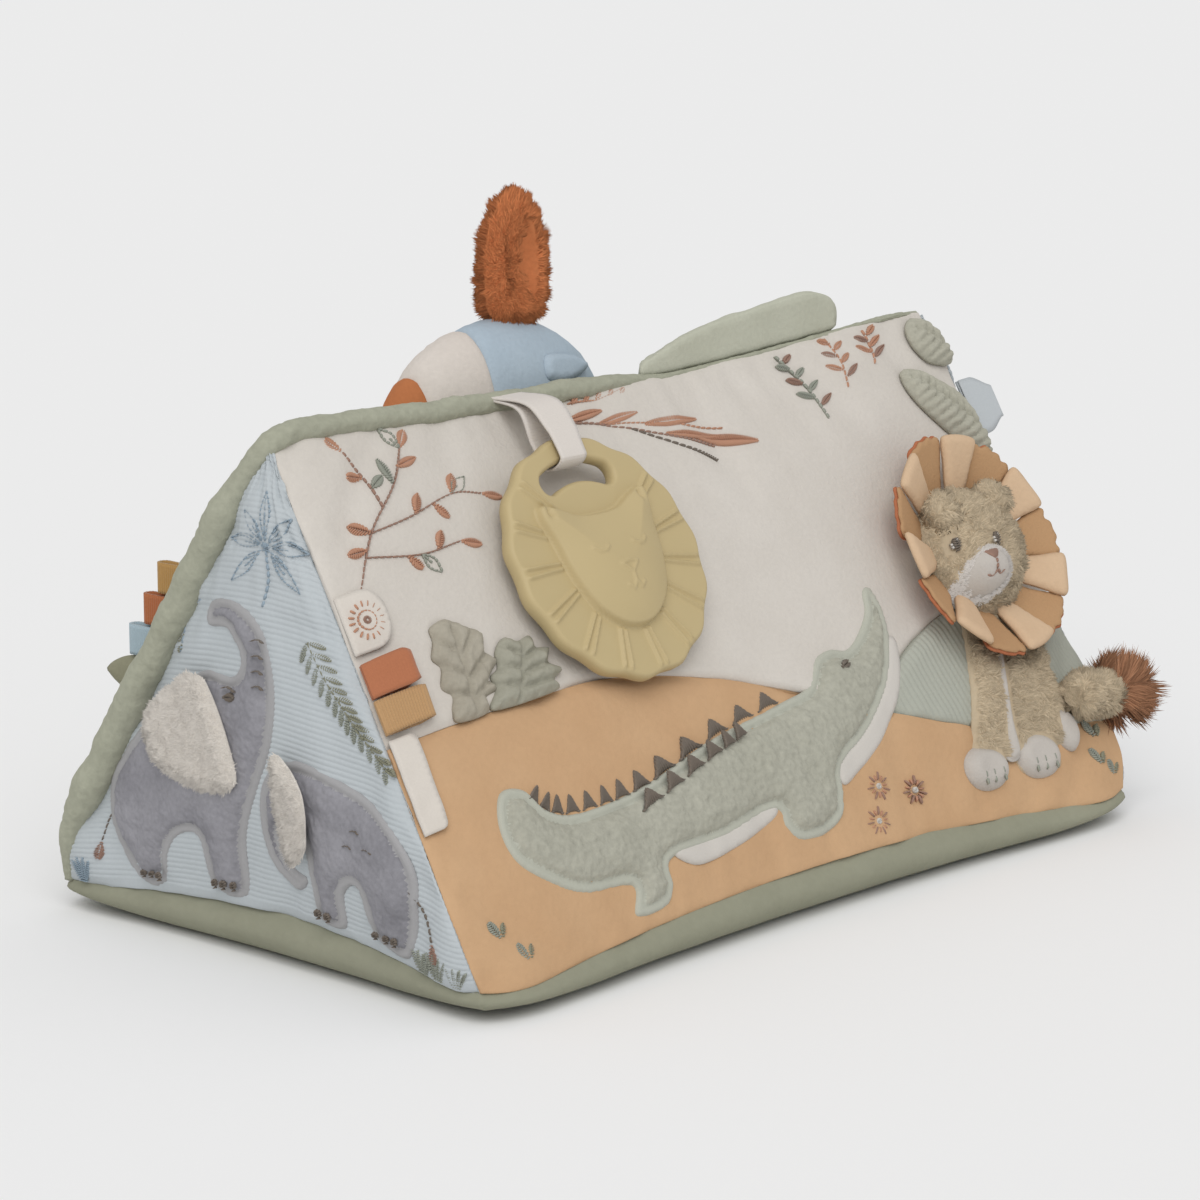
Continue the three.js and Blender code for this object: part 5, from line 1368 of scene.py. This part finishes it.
gap_strip, *_ = pad("lion_leg_gap", [gap_ring], 0.0016, on_front, rounded(0.0056, 0.003, 0.1),
                    sunk(-0.0030), [paw_cloth])
fit(gap_strip, "wedge", "white_plush")
paw_marks = []
for name, ring in paw_rings.items():
    cx, cy, rx, ry = PAWS[name]
    paw, *_ = pad(f"lion_paw_{name}", [ring], 0.0016, on_front, rounded(PAW_HIGH[name], 0.005, 0.03),
                  sunk(0.0004), [paw_cloth])
    fit(paw, "wedge", "white_plush")
    if name != "behind":
        for toe in (-0.45, 0, 0.45):
            foot = (cx + toe * rx) * 10
            paw_marks += stem([(foot, cy * 10 - ry * 7.5), (foot + 0.4, cy * 10 - ry * 1)], "green", 0.8, 3)
stitched("lion_paw_marks", above(on_front, 0.0058), paw_marks, "wedge", "white_plush")

lion_origin, lion_along, lion_up, lion_out = seat("front", LION_X, LION_Y, LION_LIFT)
on_lion = board(lion_origin, lion_along, lion_up)


def head_high(flat):
    share = np.clip(np.linalg.norm(flat, axis=-1) / HEAD_RADIUS, 0, 1)
    return HEAD_DEPTH * (1 - share ** 2.6) ** 0.55


def muzzle_high(flat):
    cx, cy, rx, ry, deep = MUZZLE
    share = ((flat[..., 0] - cx) / rx) ** 2 + ((flat[..., 1] - cy) / ry) ** 2
    return head_high(flat) - 0.001 + deep * np.sqrt(np.clip(1 - share, 0, 1))


head, flat, triangles, _, upper = pad(
    "lion_head_stuffed", [oval(0, 0, HEAD_RADIUS, HEAD_RADIUS, 0.002)], 0.002, on_lion,
    lambda flat, edge: head_high(flat), sunk(0), [fawn_plush])
fit(head, "wedge", "lion_plush", "lion_head")
muzzle, muzzle_flat, muzzle_triangles, _, muzzle_upper = pad(
    "lion_muzzle_stuffed", [oval(*MUZZLE[:4], 0.0013)], 0.0013, on_lion,
    lambda flat, edge: muzzle_high(flat) + 0.0003 * drift(flat[:, 0], flat[:, 1], 0.002, 85),
    lambda flat, edge: head_high(flat) - 0.003, [paw_cloth])
fit(muzzle, "wedge", "white_plush", "lion_muzzle")
roots, out, chosen = scattered(upper, triangles, 3.6e6, 87)
spot = flat[triangles[chosen]].mean(1)
cx, cy, rx, ry, _ = MUZZLE
bare = ((spot[:, 0] - cx) / (rx * 0.92)) ** 2 + ((spot[:, 1] - cy) / (ry * 0.92)) ** 2 < 1
for x, y, wide in EYES:
    bare |= np.hypot((spot[:, 0] - x) / (0.0003 + 0.0013 * wide), (spot[:, 1] - y) / 0.0066) < 1
roots, out = roots[~bare], out[~bare]
toss, reach = locks(roots, 360, 0.75, 87)
head_pile = pile("lion_head_pile", roots, out, 0.0050 * reach, 0.0009, fawn_strands, 87, lean=toss)
fit(head_pile, "wedge", "lion_plush")
roots, out, chosen = scattered(muzzle_upper, muzzle_triangles, 5.0e6, 89)
spot = muzzle_flat[muzzle_triangles[chosen]].mean(1)
rim = np.hypot((spot[:, 0] - cx) / rx, (spot[:, 1] - cy) / ry) > 0.8
muzzle_pile = pile("lion_muzzle_pile", roots[rim], out[rim] + lion_out, 0.0022, 0.0006, muzzle_strands, 89)
fit(muzzle_pile, "wedge", "white_plush")
for seed, (name, centre) in enumerate(LION_EARS.items()):
    points, faces = ball(on_lion, centre, EAR_BALL)
    ear = mesh_object(f"{name}_stuffed", points, faces, [fawn_plush])
    fit(ear, "wedge", "lion_plush", name)
    roots, out, _ = scattered(points, triangles_of(faces), 4.0e6, 91 + seed)
    toss, reach = locks(roots, 70, 0.75, 91 + seed)
    ear_pile = pile(f"{name}_pile", roots, out, 0.0055 * reach, 0.0009, fawn_strands, 91 + seed, lean=toss)
    fit(ear_pile, "wedge", "lion_plush")


def on_face(high, rise=0.0):
    """A function that puts flat places on the lion's head or muzzle, at a height over it."""
    return lambda flat, lift: on_lion(flat, high(flat) + lift + rise)


eye_marks = []
for x, y, wide in EYES:
    x, y = x * 1000, y * 1000
    eye_marks += satin_leaf((x - 0.3, y - 3.8), (x + 0.3, y + 3.8), wide, "dark")
    # The two white stitches on each eye are a painted highlight: a streak down its left side, the lamp's
    # side, and a small glint near its top.
    eye_marks += stem([(x - 0.6 * wide, y - 2), (x - 0.66 * wide, y + 1)], "white", 0.25 * wide, 3)
    eye_marks += stem([(x + 0.1 * wide, y + 0.9), (x + 0.15 * wide, y + 2.2)], "white", 0.2 * wide, 2)
stitched("lion_eyes", on_face(head_high, 0.0028), eye_marks, "wedge", "lion_plush")
x, y = MUZZLE[0] * 1000, MUZZLE[1] * 1000 + 7.2
nose_marks = [((x - 3.8 + 0.55 * k, y + 2.4), (x, y - 3.2), 1.0, "brown") for k in range(15)]
nose_marks += stem([(x, y - 3), (x, y - 8)], "brown", 0.9, 2)
nose_marks += stem([(x - 4.5, y - 9), (x - 2, y - 10.6), (x, y - 8)], "brown", 0.9, 2)
nose_marks += stem([(x, y - 8), (x + 2, y - 10.6), (x + 4.5, y - 9)], "brown", 0.9, 2)
stitched("lion_nose", on_face(muzzle_high), nose_marks, "wedge", "white_plush")

# Mane: fourteen loose petals sewn round the head by their inner edges, by turns tan felt with a scalloped
# rust edge behind it and thick cream plush.
PETALS = 14
PETAL_INNER = 0.0326
PETAL_FLARE = math.radians(24)
TAN, RUST_EDGE, PETAL_CREAM = "#b08c68", "#a9694a", "#c9ad8f"
TAN_PETAL = [
    (0, -5.6), (10, -9), (19, -12.4), (24, -13.2), (26.6, -10.6), (26.2, -7), (28, -4), (27.6, 0), (28, 4),
    (26.2, 7), (26.6, 10.6), (24, 13.2), (19, 12.4), (10, 9), (0, 5.6),
]
CREAM_PETAL = [
    (0, -5.2), (14, -9.2), (23, -11.6), (27, -10.4), (28, 0), (27, 10.4), (23, 11.6), (14, 9.2), (0, 5.2),
]
MILLIMETRE = 0.001
tan_felt = plush("tan_felt", TAN, tuft=0.0012, spread=0.06)
rust_felt = plush("rust_felt", RUST_EDGE, tuft=0.0012, spread=0.08)
petal_plush = plush("petal_plush", PETAL_CREAM, tuft=0.002, spread=0.05)
for index in range(PETALS):
    spoke = index / PETALS * 2 * math.pi
    radial = lion_along * math.cos(spoke) + lion_up * math.sin(spoke)
    tangent = lion_up * math.cos(spoke) - lion_along * math.sin(spoke)
    flared = radial * math.cos(PETAL_FLARE) + lion_out * math.sin(PETAL_FLARE)
    on_petal = board(lion_origin + radial * PETAL_INNER, flared, tangent)
    node = f"mane_petal_{index + 1:02d}"
    uneven = np.random.default_rng(100 + index).uniform(0.98, 1.02, (len(TAN_PETAL), 1))
    if index % 2:
        ring = outline(CREAM_PETAL * uneven[:len(CREAM_PETAL)], 0.0014, MILLIMETRE)
        petal, *_ = pad(f"{node}_plush", [ring], 0.0017, on_petal, rounded(0.0018, 0.003, rest=0.0048),
                        sunk(-0.0030), [petal_plush])
        fit(petal, node, "mane_cream", node)
    else:
        ring = outline(TAN_PETAL * uneven, 0.0012, MILLIMETRE)
        petal, *_ = pad(f"{node}_felt", [ring], 0.0017, on_petal, rounded(0.0006, 0.0012, rest=0.0024),
                        sunk(-0.0016), [tan_felt])
        fit(petal, node, "mane_rust", node)
        behind, *_ = pad(f"{node}_edge", [(ring - (0.004, 0)) * 1.025 + (0.004, 0)], 0.0017, on_petal,
                         rounded(0.0010, 0.0008, rest=0.0008), sunk(0), [rust_felt])
        fit(behind, node, "mane_rust")

# Tail: a short tube of fawn plush, stuffed and sewn on at its root, so that it lifts off the cover. At its
# end is a tuft of long brown hair over a small stuffed core.
TAIL_RADIUS = 0.0092
TUFT_BROWN = "#926a50"
on_tail = board(*seat("front", LENGTH - 0.034, 0.052, 0.0108)[:3])
tail_at = np.array([-0.004, -0.002, 0, 0.006, 0.012, 0.018, 0.022, 0.0245, 0.026])
tail_fat = TAIL_RADIUS * np.array([0.6, 0.8, 0.95, 1, 1, 1, 0.95, 0.8, 0.5])
tail_path = on_tail(np.stack([tail_at, 0 * tail_at], -1), 0 * tail_at)
points, faces = swept(tail_path, tail_fat, 24)
tail = mesh_object("lion_tail_stuffed", points, faces, [fawn_plush])
fit(tail, "lion_tail", "lion_plush", "lion_tail")
tail_way = unit(tail_path[-1] - tail_path[0])
roots, out, _ = scattered(points, triangles_of(faces), 3.6e6, 111)
toss, reach = locks(roots, 130, 0.7, 111)
tail_pile = pile("lion_tail_pile", roots, out, 0.0056 * reach, 0.0009, fawn_strands, 111,
                 lean=toss + 0.3 * tail_way)
fit(tail_pile, "lion_tail", "lion_plush")
tuft_cloth = plush("tuft_cloth", TUFT_BROWN, spread=0.15)
tuft_strands = strands("tuft_strands", TUFT_BROWN, 0.35)
points, faces = ball(on_tail, (0.034, 0, 0), (0.011, 0.0078, 0.0078))
tuft = mesh_object("tail_tuft_core", points, faces, [tuft_cloth])
fit(tuft, "lion_tail", "tuft_hair", "lion_tail_tuft")
roots, out, _ = scattered(points, triangles_of(faces), 3.6e6, 113)
toss, reach = locks(roots, 44, 0.7, 115)
tuft_hair = pile("tail_tuft_hair", roots, out, 0.0175 * reach, 0.0009, tuft_strands, 113,
                 lean=toss + 0.9 * tail_way, ruffle=0.22)
fit(tuft_hair, "lion_tail", "tuft_hair")

# Tags in the near front seam: a white satin label with a small stitched sun, a folded rust and a folded
# mustard ribbon, and a bare white label. All of them are held by the seam alone, and hang loose from it.
LABEL_WHITE, TAG_RUST, TAG_MUSTARD = "#ccc5bc", "#a86a4a", "#b18d64"
TAG_ROOT = 0.0025
TAG_WIDTH = 0.015
RIBBON_THICK = 0.0014
SUN = np.array([13, 170])


def hanging(rest):
    """Heights of a label, which stands off the cover a little more as it goes out."""
    return lambda flat, edge: rest + 0.0012 * smooth(0.004, 0.02, flat[:, 0])


label_cloth = satin("label_cloth", LABEL_WHITE)
for name, y, width, length, corner in (
    ("sun_label", 0.170, 0.026, 0.021, 0.0100),
    ("blank_label", 0.098, 0.042, 0.0125, 0.003),
):
    low, high, end = y - width / 2, y + width / 2, TAG_ROOT + length
    bend = np.linspace(0, np.pi / 2, 7)
    lower = np.stack([end - corner + corner * np.sin(bend), low + corner - corner * np.cos(bend)], -1)
    ring = np.vstack([[(TAG_ROOT, low)], lower, (lower * (1, -1) + (0, 2 * y))[::-1], [(TAG_ROOT, high)]])
    label, *_ = pad(f"{name}_cloth", [evenly(ring, 0.0014)], 0.0018, on_front,
                    hanging(0.0020), hanging(0.0008), [label_cloth])
    fit(label, name, "label_cloth", name)
sun_marks = []
for k in range(16):
    ray, after = (np.array([np.cos(j * np.pi / 8), np.sin(j * np.pi / 8)]) for j in (k, k + 1))
    sun_marks.append((SUN + ray * 5.6, SUN + ray * 8.6, 1.5, "rust"))
    sun_marks.append((SUN + ray * 4.2, SUN + after * 4.2, 1.5, "rust"))
    sun_marks.append((SUN + ray * 0.4, SUN + ray * 2.0, 1.2, "brown"))
stitched("sun_marks", above(on_front, 0.0022), sun_marks, "sun_label", "label_cloth")


def folded(length, start=TAG_ROOT, gap=0.0052, thick=0.0012, lift=0.0014):
    """The run of a ribbon folded back on itself: out along the cover, round, and back on top."""
    hook = np.linspace(-np.pi / 2, np.pi / 2, 16)
    reach = start + length - gap / 2
    out = np.stack([np.linspace(start, reach, 60), np.full(60, lift)], -1)
    fold = np.stack([reach + np.cos(hook) * gap / 2, lift + gap / 2 + np.sin(hook) * gap / 2], -1)
    rise = lift + thick + (gap - thick) * np.linspace(1, 0, 60) ** 0.6
    home = np.stack([np.linspace(reach, start, 60), rise], -1)
    run = np.vstack([out, fold[1:-1], home])
    far = run_along(run)
    at = np.arange(0, far[-1], 0.0003)
    return np.stack([np.interp(at, far, run[:, k]) for k in (0, 1)], -1)


def narrowed(place, middle, start, end, share):
    """A ribbon's places drawn in to its middle line, from start to end, by a share of its width."""
    def drawn_in(flat, lift):
        narrow = 1 - share * smooth(start, end, flat[..., 0])
        return place(np.stack([flat[..., 0], middle + (flat[..., 1] - middle) * narrow], -1), lift)
    return drawn_in


for name, y, length, gap, colour, slot, rib, narrow in (
    ("rust_loop", 0.145, 0.022, 0.0070, TAG_RUST, "rust_ribbon", 0.04, 0.18),
    ("mustard_loop", 0.129, 0.023, 0.0056, TAG_MUSTARD, "mustard_ribbon", 0.35, 0.08),
):
    on_tag = narrowed(on_front, y, TAG_ROOT + 0.75 * length, TAG_ROOT + length, narrow)
    band, run_length = tape(f"{name}_tape", on_tag, folded(length, gap=gap),
                            (y - TAG_WIDTH / 2, y + TAG_WIDTH / 2), RIBBON_THICK,
                            woven(f"{name}_tape", colour, 0.1), rib)
    fit(band, name, slot, name)

# Far end of the front: two leaves of sage plush, quilted in slanting rows, which lie on the sky and are sewn
# into the seam by one edge, and a folded loop of pale blue satin that stands out of the seam.
FAR_SAGE, SATIN_BLUE = "#a9a799", "#b2b7ba"
FAR_LOOP_HALF, FAR_LOOP_OUT = 0.015, 0.019
FAR_LEAF_CLEAR = 0.0008
FAR_LEAVES = {
    "far_leaf_upper": [
        (44.8, 22.6), (44.8, 24), (44.1, 25), (43.2, 25.2), (42.4, 24.6), (42.4, 23.6), (43.2, 22.7),
    ],
    "far_leaf_lower": [
        (44.8, 17.6), (44.8, 19.8), (44, 21.2), (42.6, 22.2), (40.9, 22.7), (40.3, 22.2), (40.6, 21),
        (42, 19.2), (43.6, 17.9),
    ],
}
far_plush = plush("far_leaf_plush", FAR_SAGE, tuft=0.0016, spread=0.14)
for seed, (name, points) in enumerate(FAR_LEAVES.items()):
    ring = outline(points, 0.0012)
    tip = ring[np.argmin(ring[:, 0] - ring[:, 1])]
    spine = np.array([np.mean(points[:2], axis=0) * SQUARE, tip])

    def far_top(flat, edge):
        run = (flat - spine[0]) @ unit(spine[1] - spine[0])
        aside = open_distance(flat, [spine])
        rows = np.abs(np.sin(np.pi * (run - 0.6 * aside) / 0.0052)) ** 0.6
        puff = 0.0075 * np.sqrt(np.clip(edge / 0.006, 0.06, 1)) * (0.62 + 0.38 * rows)
        crease = 1 - 0.4 * np.exp(-(aside / 0.0015) ** 2)
        return FAR_LEAF_CLEAR + puff * crease + 0.0005 * drift(flat[:, 0], flat[:, 1], 0.002, seed)

    leaf, *_ = pad(f"{name}_quilted", [ring], 0.0011, on_front, far_top, sunk(-FAR_LEAF_CLEAR), [far_plush])
    fit(leaf, name, "leaf_cloth", name)
far_root = on_front(np.array([[LENGTH, SLOPE - 0.056]]), np.array([0.0]))[0]
on_far_loop = board(far_root, np.array([1.0, 0, 0]), front_side["up"])
blue_satin = satin("blue_satin", SATIN_BLUE)
on_far_tape = narrowed(on_far_loop, 0, 0.3 * FAR_LOOP_OUT, FAR_LOOP_OUT, 0.45)
band, run_length = tape("far_blue_tape", on_far_tape, folded(FAR_LOOP_OUT, start=0.0005, lift=-0.001),
                        (-FAR_LOOP_HALF, FAR_LOOP_HALF), RIBBON_THICK, blue_satin)
fit(band, "far_blue_loop", "blue_ribbon", "far_blue_loop")

# Bird: a stuffed bird pieced from rust, cream and blue plush, sewn to the back behind the ridge. It has a
# small padded wing, and an upright padded crest of long rust pile that is sewn on along its foot.
BIRD_CENTRE = np.array([-0.044, 0.038, 0.205])
BIRD_RADII = np.array([0.073, 0.026, 0.057])
BIRD_PARTS = (
    ("bird_beak", 0.0, 0.020, "#b06f47", "crest_plush"),
    ("bird_face", 0.020, 0.055, "#ccc4bc", "cream_plush"),
    ("bird_body", 0.055, 0.146, "#a6b4bf", "bird_blue"),
)
BIRD_RINGS, BIRD_SIDES = 26, 40
WING_X, WING_Z = 0.020, 0.034
WING = [(-0.3, -0.5), (1, -0.6), (2.2, -0.2), (2.9, 0.3), (2, 0.7), (0.6, 0.75), (-0.3, 0.5)]
CREST_AT = np.array([-0.029, 0.038, 0.2622])
CREST_RUST = "#bb754b"
CREST_RING = [
    (1.3, 0), (1.75, 1.8), (1.65, 3.6), (1.1, 5), (0.2, 5.8), (-0.8, 5.3), (-1.55, 4), (-1.75, 1.8),
    (-1.25, 0),
]
CREST_HOLLOW = [(0.8, 0.9), (1.1, 2.4), (0.95, 3.8), (0.5, 4.6), (0, 4), (-0.2, 2.5), (0.2, 0.9)]
back_lean = (BASE_WIDTH / 2) / RISE
bird_cloth = {}
for name, start, end, colour, slot in BIRD_PARTS:
    share = (1 - np.cos(np.linspace(0, np.pi, BIRD_RINGS))) / 2
    x = start + (end - start) * share
    open_tip, open_tail = start == 0, end > 0.14
    seam_gap = np.minimum(np.where(open_tip, 1, x - start), np.where(open_tail, 1, end - x))
    ring = np.sqrt(np.clip(1 - (x / BIRD_RADII[0] - 1) ** 2, 1e-5, 1)) - 0.05 * np.exp(-seam_gap / 0.002)
    turn = np.linspace(0, 2 * np.pi, BIRD_SIDES, endpoint=False)
    points = np.stack(np.broadcast_arrays(
        (BIRD_CENTRE[0] - BIRD_RADII[0] + x)[:, None],
        BIRD_CENTRE[1] + BIRD_RADII[1] * ring[:, None] * np.cos(turn),
        BIRD_CENTRE[2] + BIRD_RADII[2] * ring[:, None] * np.sin(turn)), -1)
    high = SEAM_LIFT + RISE - points[..., 2]
    cover_at = np.clip(high * back_lean, 0.002, None) + 0.004 * smooth(0, 0.05, high)
    points[..., 1] = np.maximum(points[..., 1], cover_at)
    points = points + 0.0004 * drift(points[..., 0] + points[..., 1], points[..., 2], 0.003, 131)[..., None]
    closed = np.vstack([points.reshape(-1, 3), points[0].mean(0), points[-1].mean(0)])
    bird_cloth[name] = plush(f"{name}_plush", colour, tuft=0.0024, spread=0.08)
    part = mesh_object(f"{name}_stuffed", closed, tube_faces(BIRD_RINGS, BIRD_SIDES), [bird_cloth[name]])
    fit(part, "wedge", slot, name)

wing_from = np.array([WING_X, 0, WING_Z])
wing_from[1] = -BIRD_RADII[1] * math.sqrt(1 - (wing_from ** 2 / BIRD_RADII ** 2).sum())
wing_out = unit(wing_from / BIRD_RADII ** 2)
wing_up = unit(np.cross(wing_out, [1, 0, -0.15]))
wing, *_ = pad("bird_wing_padded", [outline(WING, 0.0012)], 0.0014,
               board(BIRD_CENTRE + wing_from, np.cross(wing_up, wing_out), wing_up),
               rounded(0.0026, 0.003), rounded(-0.0022, 0.003), [bird_cloth["bird_body"]])
fit(wing, "wedge", "bird_blue")


def crest_half(flat, edge):
    """Half of the crest's thickness, thinner to its edge and its top."""
    thick = 0.0068 * np.sqrt(np.clip(1 - (flat[:, 1] / 0.0615) ** 3, 0, 1))
    return thick * np.sqrt(np.clip(edge / 0.006, 0.02, 1))


on_crest = board(CREST_AT, np.array([1.0, 0, 0]), np.array([0, 0, 1.0]))
crest_ring = outline(CREST_RING, 0.0014)
hollow_ring = outline(CREST_HOLLOW, 0.0014)


def crest_front(flat, edge):
    inside = ring_distance(flat, [hollow_ring]) * np.where(within(flat, [hollow_ring]), 1, -1)
    creases = 0.0012 * drift(flat[:, 0], flat[:, 1] * 0.2, 0.004, 133) * smooth(0.002, 0.006, edge)
    return crest_half(flat, edge) - 0.0045 * smooth(-0.001, 0.004, inside) + creases


crest_plush = plush("crest_plush", CREST_RUST, tuft=0.002, spread=0.16)
crest_strands = strands("crest_strands", CREST_RUST, 0.28)
crest, flat, triangles, edge, upper = pad(
    "crest_padded", [crest_ring], 0.0016, on_crest, crest_front,
    lambda flat, edge: -crest_half(flat, edge), [crest_plush])
fit(crest, "bird_crest", "crest_plush", "bird_crest")
lower = on_crest(flat, -crest_half(flat, edge))
for name, surface, order, seed in (
    ("front", upper, triangles, 135),
    ("back", lower, triangles[:, ::-1], 137),
):
    roots, out, chosen = scattered(surface, order, 4.6e6, seed)
    spot = flat[triangles[chosen]].mean(1)
    kept = ~within(spot, [hollow_ring]) if name == "front" else np.ones(len(spot), bool)
    outward = unit(np.stack([spot[:, 0], 0 * spot[:, 0], spot[:, 1] - 0.025], -1))
    toss, reach = locks(roots[kept], 150, 0.45, seed)
    crest_pile = pile(f"crest_pile_{name}", roots[kept], out[kept], 0.0058 * reach, 0.0007,
                      crest_strands, seed, lean=(0.6 * outward + (0, 0, 0.3))[kept] + toss)
    fit(crest_pile, "bird_crest", "crest_plush")

# Back: a large padded sage leaf sewn by its lower edge so that it stands over the ridge, and a row of three
# folded ribbons and a small leaf close to the near end.
RIDGE_LEAF_SAGE, BACK_LEAF_OLIVE = "#b5b6a6", "#8a8873"
RIDGE_LEAF_SIZE = (0.138, 0.052)
RIDGE_LEAF_AT = (LENGTH - (0.088 + LENGTH / 2), SLOPE - 0.034)
RIDGE_LEAF = [
    (-0.34, 0), (0.3, 0), (0.44, 0.36), (0.52, 0.68), (0.4, 0.82), (0.2, 0.94), (-0.1, 1), (-0.34, 1.02),
    (-0.48, 0.9), (-0.5, 0.66), (-0.44, 0.3),
]
RIDGE_LEAF_CREASE = [(-0.42, 0.8), (0, 0.76), (0.46, 0.7)]
RIDGE_LEAF_CLEAR = 0.0006
BACK_TAPES = (
    ("back_mustard_loop", 0.146, "#a9844f", "mustard_ribbon"),
    ("back_rust_loop", 0.131, "#a5643f", "rust_ribbon"),
    ("back_blue_loop", 0.116, "#9fb0b8", "blue_ribbon"),
)
BACK_TAPE_WIDTH, BACK_TAPE_OUT = 0.014, 0.034
BACK_LEAF_HEIGHT = 0.099
BACK_LEAF = [(0, -0.5), (1.4, -0.95), (2.8, -0.7), (3.8, 0), (2.8, 0.7), (1.4, 0.95), (0, 0.5)]
on_back = on_cover("back")
backward, upright = np.array([0, 1.0, 0]), np.array([0, 0, 1.0])


def over_ridge(flat, lift):
    """The back panel, carried on upright above the ridge."""
    y = np.minimum(flat[..., 1], SLOPE)
    return on_back(np.stack([flat[..., 0], y], -1), lift) + (flat[..., 1] - y)[..., None] * upright


def back_root(height):
    """A place on the back, close to the near end, at a height over the lower seam."""
    return on_back(np.array([[LENGTH - 0.015, height * SLOPE / RISE]]), np.array([0.0]))[0]


leaf_ring = outline(RIDGE_LEAF, 0.0022, RIDGE_LEAF_SIZE, RIDGE_LEAF_AT)
leaf_crease = np.array(RIDGE_LEAF_CREASE) * RIDGE_LEAF_SIZE + RIDGE_LEAF_AT


def ridge_leaf_top(flat, edge):
    crease = 0.003 * np.exp(-(open_distance(flat, [leaf_crease]) / 0.002) ** 2)
    waves = 0.0016 * drift(flat[:, 0], flat[:, 1], 0.016, 141)
    puff = rounded(0.012, 0.012, 0.02, RIDGE_LEAF_CLEAR)(flat, edge)
    return puff - crease + waves * smooth(0, 0.01, edge)


def back_leaf_top(flat, edge):
    return rounded(0.0016, 0.004)(flat, edge) - 0.0008 * np.exp(-(flat[:, 1] / 0.0012) ** 2)


leaf, *_ = pad("ridge_leaf_padded", [leaf_ring], 0.0024, over_ridge, ridge_leaf_top, sunk(-RIDGE_LEAF_CLEAR),
               [plush("ridge_leaf_plush", RIDGE_LEAF_SAGE, spread=0.08)])
fit(leaf, "ridge_leaf", "leaf_cloth", "ridge_leaf")
for name, height, colour, slot in BACK_TAPES:
    on_loop = board(back_root(height), backward, -np.cross(backward, SIDES["back"]["across"]))
    band, run_length = tape(f"{name}_tape", on_loop, folded(BACK_TAPE_OUT, start=-0.002, lift=-0.0022),
                            (-BACK_TAPE_WIDTH / 2, BACK_TAPE_WIDTH / 2), RIBBON_THICK,
                            woven(f"{name}_tape", colour, 0.1), 0.3)
    fit(band, name, slot, name)
on_small_leaf = board(back_root(BACK_LEAF_HEIGHT), backward, upright)
leaf, *_ = pad("back_leaf_padded", [outline(BACK_LEAF, 0.0014)], 0.0015, on_small_leaf, back_leaf_top,
               rounded(-0.0016, 0.004), [plush("back_leaf_plush", BACK_LEAF_OLIVE)])
fit(leaf, "back_sage_leaf", "leaf_cloth", "back_sage_leaf")
